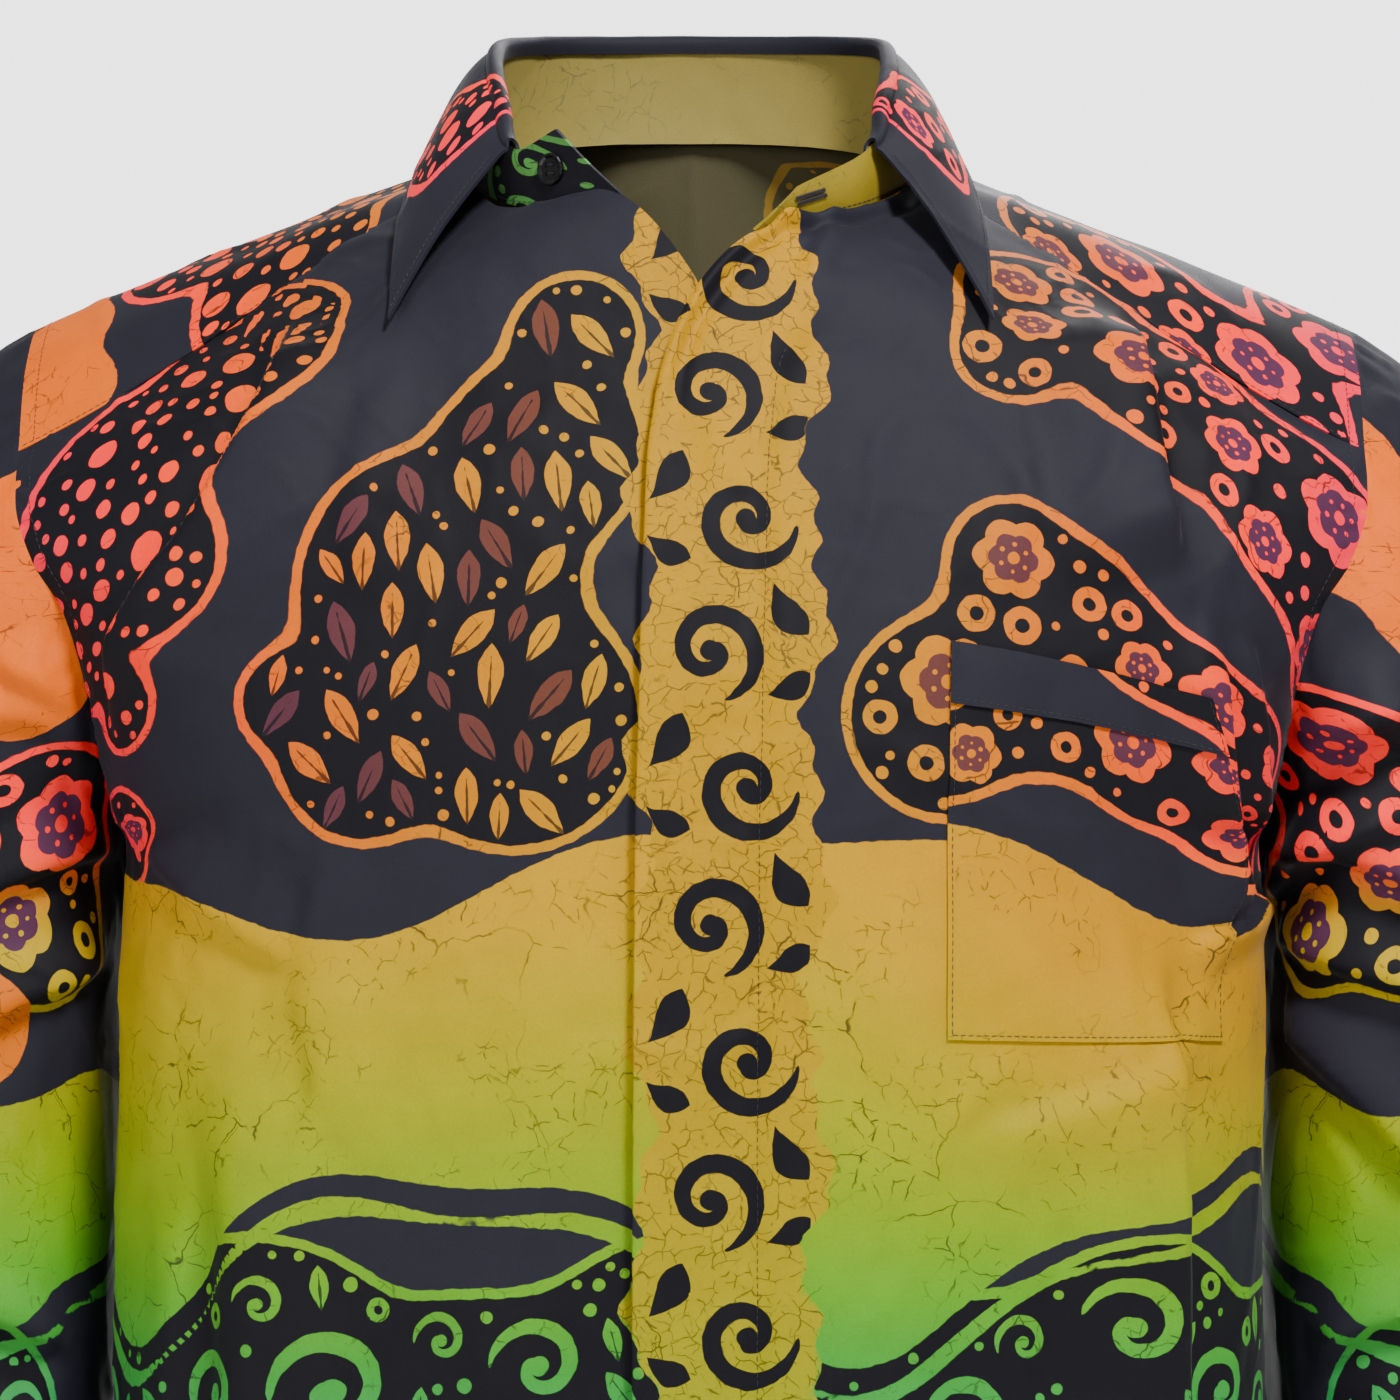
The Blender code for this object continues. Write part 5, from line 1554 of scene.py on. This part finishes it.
def sleeve_rings():
    """The rings of a left sleeve from the armhole down to the cuff, and their points' turns."""
    edge, turns = armhole_loop()
    top = ((1 - np.cos(TURN * turns)) / 2)[:, None]
    lead = CAP_LEAD_UNDER + (CAP_LEAD_TOP - CAP_LEAD_UNDER) * top
    arrive = CAP_ARRIVE_UNDER + (CAP_ARRIVE_TOP - CAP_ARRIVE_UNDER) * top
    leave = unit(np.hstack([.30 + .60 * top, 0 * top, -.95 + .52 * top]))
    biceps = SLEEVE_ROWS[0]
    end = oval(biceps.centre, biceps.half_width, biceps.half_depth, turns)
    cap = bezier(np.linspace(0, 1, CAP_RINGS)[:, None, None], edge, edge + leave * lead,
                 end + np.array((0, 0, 1)) * arrive, end)
    down = np.linspace(0, len(SLEEVE_ROWS) - 1, ARM_RINGS)[1:]
    sizes = [smooth_all(np.array([row[k] for row in SLEEVE_ROWS]), down) for k in range(3)]
    return np.array([*cap, *(oval(*size, turns) for size in zip(*sizes))]), turns


SLEEVE_CREASES = {
    "left": (
        Crease(((-.208, -.232), (-.168, -.214), (-.128, -.194), (-.085, -.184)),
               .0095, .030, .0075, .0045),
        Crease(((-.205, -.264), (-.172, -.250), (-.145, -.236), (-.105, -.228)),
               .0060, .016, .0070, .0030),
        Crease(((-.200, -.250), (-.150, -.240), (-.100, -.262), (-.040, -.300)),
               .0081, .022, .008, .004),
        Crease(((-.195, -.275), (-.140, -.285), (-.090, -.310), (-.055, -.345)),
               .0074, .020, .008, .003),
        Crease(((-.190, -.300), (-.140, -.330), (-.110, -.370)), .0068, .020, .009, .003),
        Crease(((-.185, -.230), (-.130, -.200), (-.090, -.205)), .0061, .020, .008, .002),
        Crease(((-.060, -.200), (-.040, -.150), (-.035, -.100)), .0047, .025, .012, 0),
    ),
    "right": (
        Crease(((-.206, -.230), (-.168, -.210), (-.130, -.184), (-.095, -.160)),
               .0095, .030, .0075, .0045),
        Crease(((-.200, -.245), (-.150, -.245), (-.090, -.275), (-.045, -.310)),
               .0074, .022, .008, .003),
        Crease(((-.195, -.280), (-.130, -.300), (-.085, -.345)), .0074, .020, .009, .003),
        Crease(((-.060, -.400), (-.080, -.330), (-.105, -.285)), .0061, .022, .010, .002),
        Crease(((-.180, -.225), (-.130, -.195), (-.085, -.190)), .0054, .022, .010, .001),
    ),
}
BEHIND = (
    Crease(((.195, -.250), (.140, -.250), (.090, -.280), (.050, -.320)), .0074, .022, .009, .003),
    Crease(((.190, -.285), (.130, -.310), (.095, -.350)), .0068, .020, .009, .003),
    Crease(((.040, -.440), (.100, -.420), (.160, -.440)), .0068, .016, .010, .003),
    Crease(((.050, -.470), (.110, -.460), (.170, -.480)), .0054, .014, .009, .002),
    Crease(((-.170, -.425), (-.120, -.405), (-.060, -.420)), .0074, .016, .009, .004),
    Crease(((-.160, -.460), (-.110, -.440), (-.070, -.450)), .0061, .014, .009, .003),
    Crease(((-.120, -.600), (-.110, -.560), (-.100, -.530)), .0047, .010, .006, .001),
    Crease(((.020, -.600), (.010, -.565), (.015, -.530)), .0047, .010, .006, .001),
    Crease(((.120, -.600), (.125, -.560), (.118, -.535)), .0047, .010, .006, .001),
)
for side, sign, layout in (("left", 1, SLEEVE), ("right", -1, OTHER_SLEEVE)):
    rings, turns = sleeve_rings()
    points = rings[::-1] * (sign, 1, 1)
    normals = ring_normals(points)
    u = np.broadcast_to((turns - .5) * SLEEVE_ROUND, points.shape[:2])
    step = np.linalg.norm(np.diff(points, axis=0), axis=-1)
    start = np.zeros((1, len(turns)))
    v = np.concatenate([start, np.cumsum(step, axis=0)])
    v = v - v[ARM_RINGS - 1] + SLEEVE_ROWS[0].centre[2]
    flat = np.stack([u, v], -1)
    sewn = np.concatenate([start, np.cumsum(step[::-1], axis=0)])[::-1]
    shut = ease((turns - turns[0]) / .03) * ease((turns[-1] - turns) / .03)
    held = ease(sewn / .030) * ease((v - v[0]) / .02 + .15) * shut
    points = creased(points, normals, SLEEVE_CREASES[side] + BEHIND, u, v, held)
    points = rumpled(points, normals, .0022, .045, (1, 1, 1.4), 23.1 * sign, ease(sewn / .02) * shut)
    points = rumpled(points, normals, .0007, .016, (1, 1, 1.2), 12.1 * sign, ease(sewn / .01) * shut)
    points += normals * puckers(u, sewn, .012, .0007, .012, seed=sign)[..., None]
    points[:, -1] = points[:, 0]
    shell = seam_tucks(points, normals, flat, (("last", "row"),))
    piece = printed(f"sleeve_{side}", [shell], layout, sow(layout, (-.22, -.62), (.22, .0)),
                    weld=True, warm_from=.17)

# %% Make the cuffs
CUFF_LENGTH, CUFF_OVER, CUFF_ROUND, CUFF_THICK = .064, .004, .255, .0016
CUFF_HALF_WIDTH, CUFF_HALF_DEPTH = .0395, .0410
# Turns are counted in 24ths round: the cuff laps over by four of them, and rises over two.
CUFF_PARTS, CUFF_LAP, CUFF_RISE, CUFF_LIFT = 24, 4, 2, .0036
CUFF_COLUMNS, CUFF_ROWS, CUFF_FLARE = 112, 27, .0012

wrist = np.array(SLEEVE_ROWS[-1].centre)
lean = wrist - np.array(SLEEVE_ROWS[-2].centre)
lean = lean / -lean[2]
start_turn = armhole_loop()[1][0]
along = np.linspace(-CUFF_LAP / CUFF_PARTS, 1, CUFF_COLUMNS)
lapped = ease((along * CUFF_PARTS - CUFF_PARTS + CUFF_RISE) / CUFF_RISE) * CUFF_LIFT
down = np.linspace(CUFF_LENGTH, -CUFF_OVER, CUFF_ROWS)
cuff_points = np.array([oval(wrist + lean * d,
                             CUFF_HALF_WIDTH + CUFF_FLARE * ease((CUFF_OVER - d) / .006) + lapped,
                             CUFF_HALF_DEPTH + lapped, start_turn + along) for d in down])
cuff_flat = np.stack(np.broadcast_arrays(along * CUFF_ROUND, -down[:, None]), -1)
cuff_cloth = {}
for side, sign in (("left", 1), ("right", -1)):
    points = cuff_points * (sign, 1, 1)
    normals = ring_normals(points, tube=False)
    points = rumpled(points, normals, .0005, .03, seed=5.5 * sign)
    cuff_cloth[side] = points, normals
    piece = printed(f"cuff_{side}", [(points, normals, cuff_flat)], CUFF,
                    sow(CUFF, (-.05, -.07), (.26, .01)), CUFF_THICK)

# %% [markdown]
# ## Stitches
#
# Every seam that shows is sewn: a row of separate stitches beside the edge, each one a short dark
# thread that dips into the cloth at both ends. They could be a bump in the material, but modelled
# ones catch the light and stay sharp. One stitch is modelled, and copies of it are set along lines
# read off the panels' own points.

# %% Model one stitch
STITCH_LONG, STITCH_PITCH, THREAD = .0021, .0027, .00017

bpy.ops.mesh.primitive_uv_sphere_add(segments=6, ring_count=5, radius=1)
bpy.ops.object.mode_set(mode="EDIT")
bpy.ops.mesh.select_all(action="SELECT")
bpy.ops.transform.rotate(value=math.pi / 2, orient_axis="Y", center_override=(0, 0, 0))
bpy.ops.transform.resize(value=(STITCH_LONG / 2, THREAD, THREAD), center_override=(0, 0, 0))
bpy.ops.object.mode_set(mode="OBJECT")
one = bpy.context.object
one_points = np.array([v.co for v in one.data.vertices])
one_faces = [list(face.vertices) for face in one.data.polygons]
bpy.data.objects.remove(one)
print("one stitch has", len(one_faces), "faces")

# %% Lines beside an edge
NEAR_EDGE = 24
STITCH_AHEAD, STITCH_SINK, STITCH_SWAY = .0006, .35, .10


def beside(points, normals, side, distance, keep=slice(None)):
    """The line at this distance in from one edge of a grid."""
    grid, out = (points, normals) if side[1] == "column" else (
        points.transpose(1, 0, 2), normals.transpose(1, 0, 2))
    if side[0] == "last":
        grid, out = grid[:, ::-1], out[:, ::-1]
    grid, out = grid[keep, :NEAR_EDGE], out[keep, :NEAR_EDGE]
    reach = [lengths(row) for row in grid]
    line, facing = (np.array([read_at(distance, r, row) for r, row in zip(reach, rows)])
                    for rows in (grid, out))
    return line, unit(facing)


def stitches_along(line, normals):
    """Centres, directions and normals of the stitches on a line."""
    reach = lengths(line)
    at = np.arange(STITCH_PITCH, reach[-1] - STITCH_PITCH / 2, STITCH_PITCH)
    spots = read_at(at, reach, line)
    ahead = read_at(at + STITCH_AHEAD, reach, line)
    return spots, unit(ahead - spots), unit(read_at(at, reach, normals))


def threads(name, spots, along, out, material, scale=(1, 1, 1), slot="batik_cotton"):
    """One object made of copies of the stitch, each lying along its own direction."""
    axes = np.stack([along, np.cross(out, along), out], axis=1)
    points = spots[:, None] + np.einsum("pk,nkj->npj", one_points * scale, axes)
    count = len(one_points)
    faces = [[v + n * count for v in face] for n in range(len(spots)) for face in one_faces]
    mesh = bpy.data.meshes.new(name)
    mesh.from_pydata(points.reshape(-1, 3).tolist(), [], faces)
    mesh.shade_smooth()
    mesh.materials.append(material)
    rows = bpy.data.objects.new(name, mesh)
    bpy.context.scene.collection.objects.link(rows)
    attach(rows, "root")
    print(name, len(spots), "stitches")
    return rows


def sewn_row(name, lines, material):
    """All the stitches of these lines, each a little out of line as from a fast machine."""
    rows = [stitches_along(*line) for line in lines]
    spots, along, out = (np.concatenate(part) for part in zip(*rows))
    sway = np.random.default_rng(7).uniform(-STITCH_SWAY, STITCH_SWAY, (len(spots), 1))
    along = unit(along + np.cross(out, along) * sway)
    return threads(name, spots + out * THREAD * STITCH_SINK, along, out, material)


thread = bpy.data.materials.new("dark_thread")
paint = Palette(thread)
coords = paint.tree.nodes.new("ShaderNodeTexCoord").outputs["Object"]
paint.feed("Base Color", paint.mixed(paint.clouds(coords, 2600), dye("0b0a0e"), dye("25222b")))
paint.feed("Roughness", .55)
paint.feed("Specular IOR Level", .25)

# %% Sew the seams
ARMHOLE_IN, EDGE_IN, HEM_IN, FLY_IN, COLLAR_IN, CUFF_IN = .0060, .0016, .0110, .0415, .0042, .0056
ARMPIT_Z, FLY_TOP_Z = -.240, -.060
# The fall's ends are sewn from its outer edge up, over this many rows.
FALL_END = slice(0, 27)
ROW_FIRST, ROW_LAST, COLUMN_FIRST, COLUMN_LAST = (
    (end, kind) for kind in ("row", "column") for end in ("first", "last"))
seams = {"body": [], "pocket": [], "collar": [], "cuffs": []}


def sew(group, points, normals, sides, distance, keep=slice(None)):
    """Lines of stitches beside some edges of a grid."""
    seams[group] += [beside(points, normals, side, distance, keep) for side in sides]


for points, normals, _, _ in front_cloth.values():
    sew("body", points, normals, [COLUMN_LAST], ARMHOLE_IN, points[:, -1, 2] > ARMPIT_Z)
    sew("body", points, normals, [ROW_FIRST], HEM_IN)
points, normals = front_cloth["front_left"][:2]
sew("body", points, normals, [COLUMN_FIRST], FLY_IN, points[:, 0, 2] < FLY_TOP_Z)
for points, normals, _ in yoke_parts:
    sew("body", points, normals, (ROW_FIRST, ROW_LAST), EDGE_IN)
    sew("body", points, normals, [COLUMN_LAST], ARMHOLE_IN)
points, normals = back_cloth
sew("body", points, normals, (COLUMN_FIRST, COLUMN_LAST), ARMHOLE_IN, points[:, -1, 2] > ARMPIT_Z)
sew("body", points, normals, [ROW_FIRST], HEM_IN)
sew("pocket", *pocket_cloth[:2], (COLUMN_FIRST, COLUMN_LAST, ROW_FIRST), EDGE_IN)
sew("pocket", *band_cloth[:2], (ROW_FIRST, COLUMN_FIRST, COLUMN_LAST), EDGE_IN)
normals = normals_of(fall_points)
sew("collar", fall_points, normals, [ROW_FIRST], COLLAR_IN)
sew("collar", fall_points, normals, (COLUMN_FIRST, COLUMN_LAST), COLLAR_IN, FALL_END)
sew("collar", stand_points, stand_normals, [ROW_FIRST], EDGE_IN)
for points, normals in cuff_cloth.values():
    sew("cuffs", points, normals, [ROW_FIRST], EDGE_IN)
    sew("cuffs", points, normals, [ROW_LAST], CUFF_IN)
for group, lines in seams.items():
    sewn_row(f"{group}_stitches", lines, thread)

# %% [markdown]
# ## Buttons
#
# The CAD buttons are exact already, so they are shown as they are, with a finish of their own:
# black horn-like resin, polished, with faint streaks. Black thread crosses the four holes.

# %% Finish the buttons
resin = bpy.data.materials.new("polished_resin")
paint = Palette(resin)
coords = paint.tree.nodes.new("ShaderNodeTexCoord").outputs["Object"]
streaks = paint.clouds(coords, 420, 3.0, .6)
paint.feed("Base Color", paint.mixed(streaks, dye("030203"), dye("0d0a0c")))
paint.feed("Roughness", streaks * .14 + .12)
paint.feed("Specular IOR Level", .38)
paint.bumped(streaks, .08, .0002)
buttons = {name: node for name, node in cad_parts.items() if name.startswith("button")}
for button in buttons.values():
    button.data.materials.clear()
    button.data.materials.append(resin)
print(len(buttons), "buttons finished")

# %% [markdown]
# Each button is held by two bars of thread, three strands in each, from hole to hole. A button's own
# points tell where it lies: their flattest direction is its axis.

# %% Thread the buttons
HOLE_OFF, THREAD_HEIGHT = .0015, .0015
STRAND_OFFSETS = (-.00026, 0, .00026)

spots, along, out = [], [], []
for name, button in buttons.items():
    corners = np.array([v.co for v in button.data.vertices])
    middle = corners.mean(axis=0)
    axis = np.linalg.svd(corners - middle)[2][2]
    away = {"button_cuff_left": (1, 1, 0), "button_cuff_right": (-1, 1, 0)}.get(name, (0, -1, 0))
    axis = axis * np.sign(axis @ np.array(away))
    across, upward = np.array(Vector(axis).to_track_quat("Z", "Y").to_matrix()).T[:2]
    seat = middle + axis * ((corners - middle) @ axis).min()
    for bar in (-HOLE_OFF, HOLE_OFF):
        for strand in STRAND_OFFSETS:
            height = THREAD_HEIGHT - abs(strand) * .3
            spots.append(seat + axis * height + upward * (bar + strand))
            along.append(across)
            out.append(axis)
threads("button_thread", *map(np.array, (spots, along, out)), thread, (1.9, 1.1, 1.5),
        "dark_plastic")

# %% [markdown]
# The stand's other end has the buttonhole: a slit between two rows of close, short stitches.

# %% Sew the buttonhole
HOLE_FROM, HOLE_LONG, HOLE_PITCH, HOLE_HALF = .0080, .0140, .00042, .0010
# How far off the stand's middle its stitches and the slit lie, on both faces.
HOLE_LIFT, SLIT_LIFT = np.array((.00085, -.00085)), np.array((.0007, -.0007))

middle_row = stand_points.shape[0] // 2
line, facing = stand_points[middle_row, ::-1], stand_normals[middle_row, ::-1]
reach = lengths(line)
at = np.arange(HOLE_FROM, HOLE_FROM + HOLE_LONG, HOLE_PITCH)
spots, out, ahead = (read_at(at + step, reach, grid)
                     for grid, step in ((line, 0), (facing, 0), (line, .001)))
ahead, out = unit(ahead - spots), unit(out)
across = unit(np.cross(out, ahead))
both = [spots + out * lift + across * off
        for lift in HOLE_LIFT for off in (-HOLE_HALF, HOLE_HALF)]
threads("buttonhole_stitches", np.concatenate(both), np.tile(across, (4, 1)),
        np.tile(out, (4, 1)), thread, (.85, 1.1, 1.1))
slit = spots[len(spots) // 2] + out[0] * SLIT_LIFT[:, None]
threads("buttonhole_slit", slit, np.tile(ahead[0], (2, 1)), np.tile(out[0], (2, 1)), resin,
        (6.2, 1.3, 1.0))
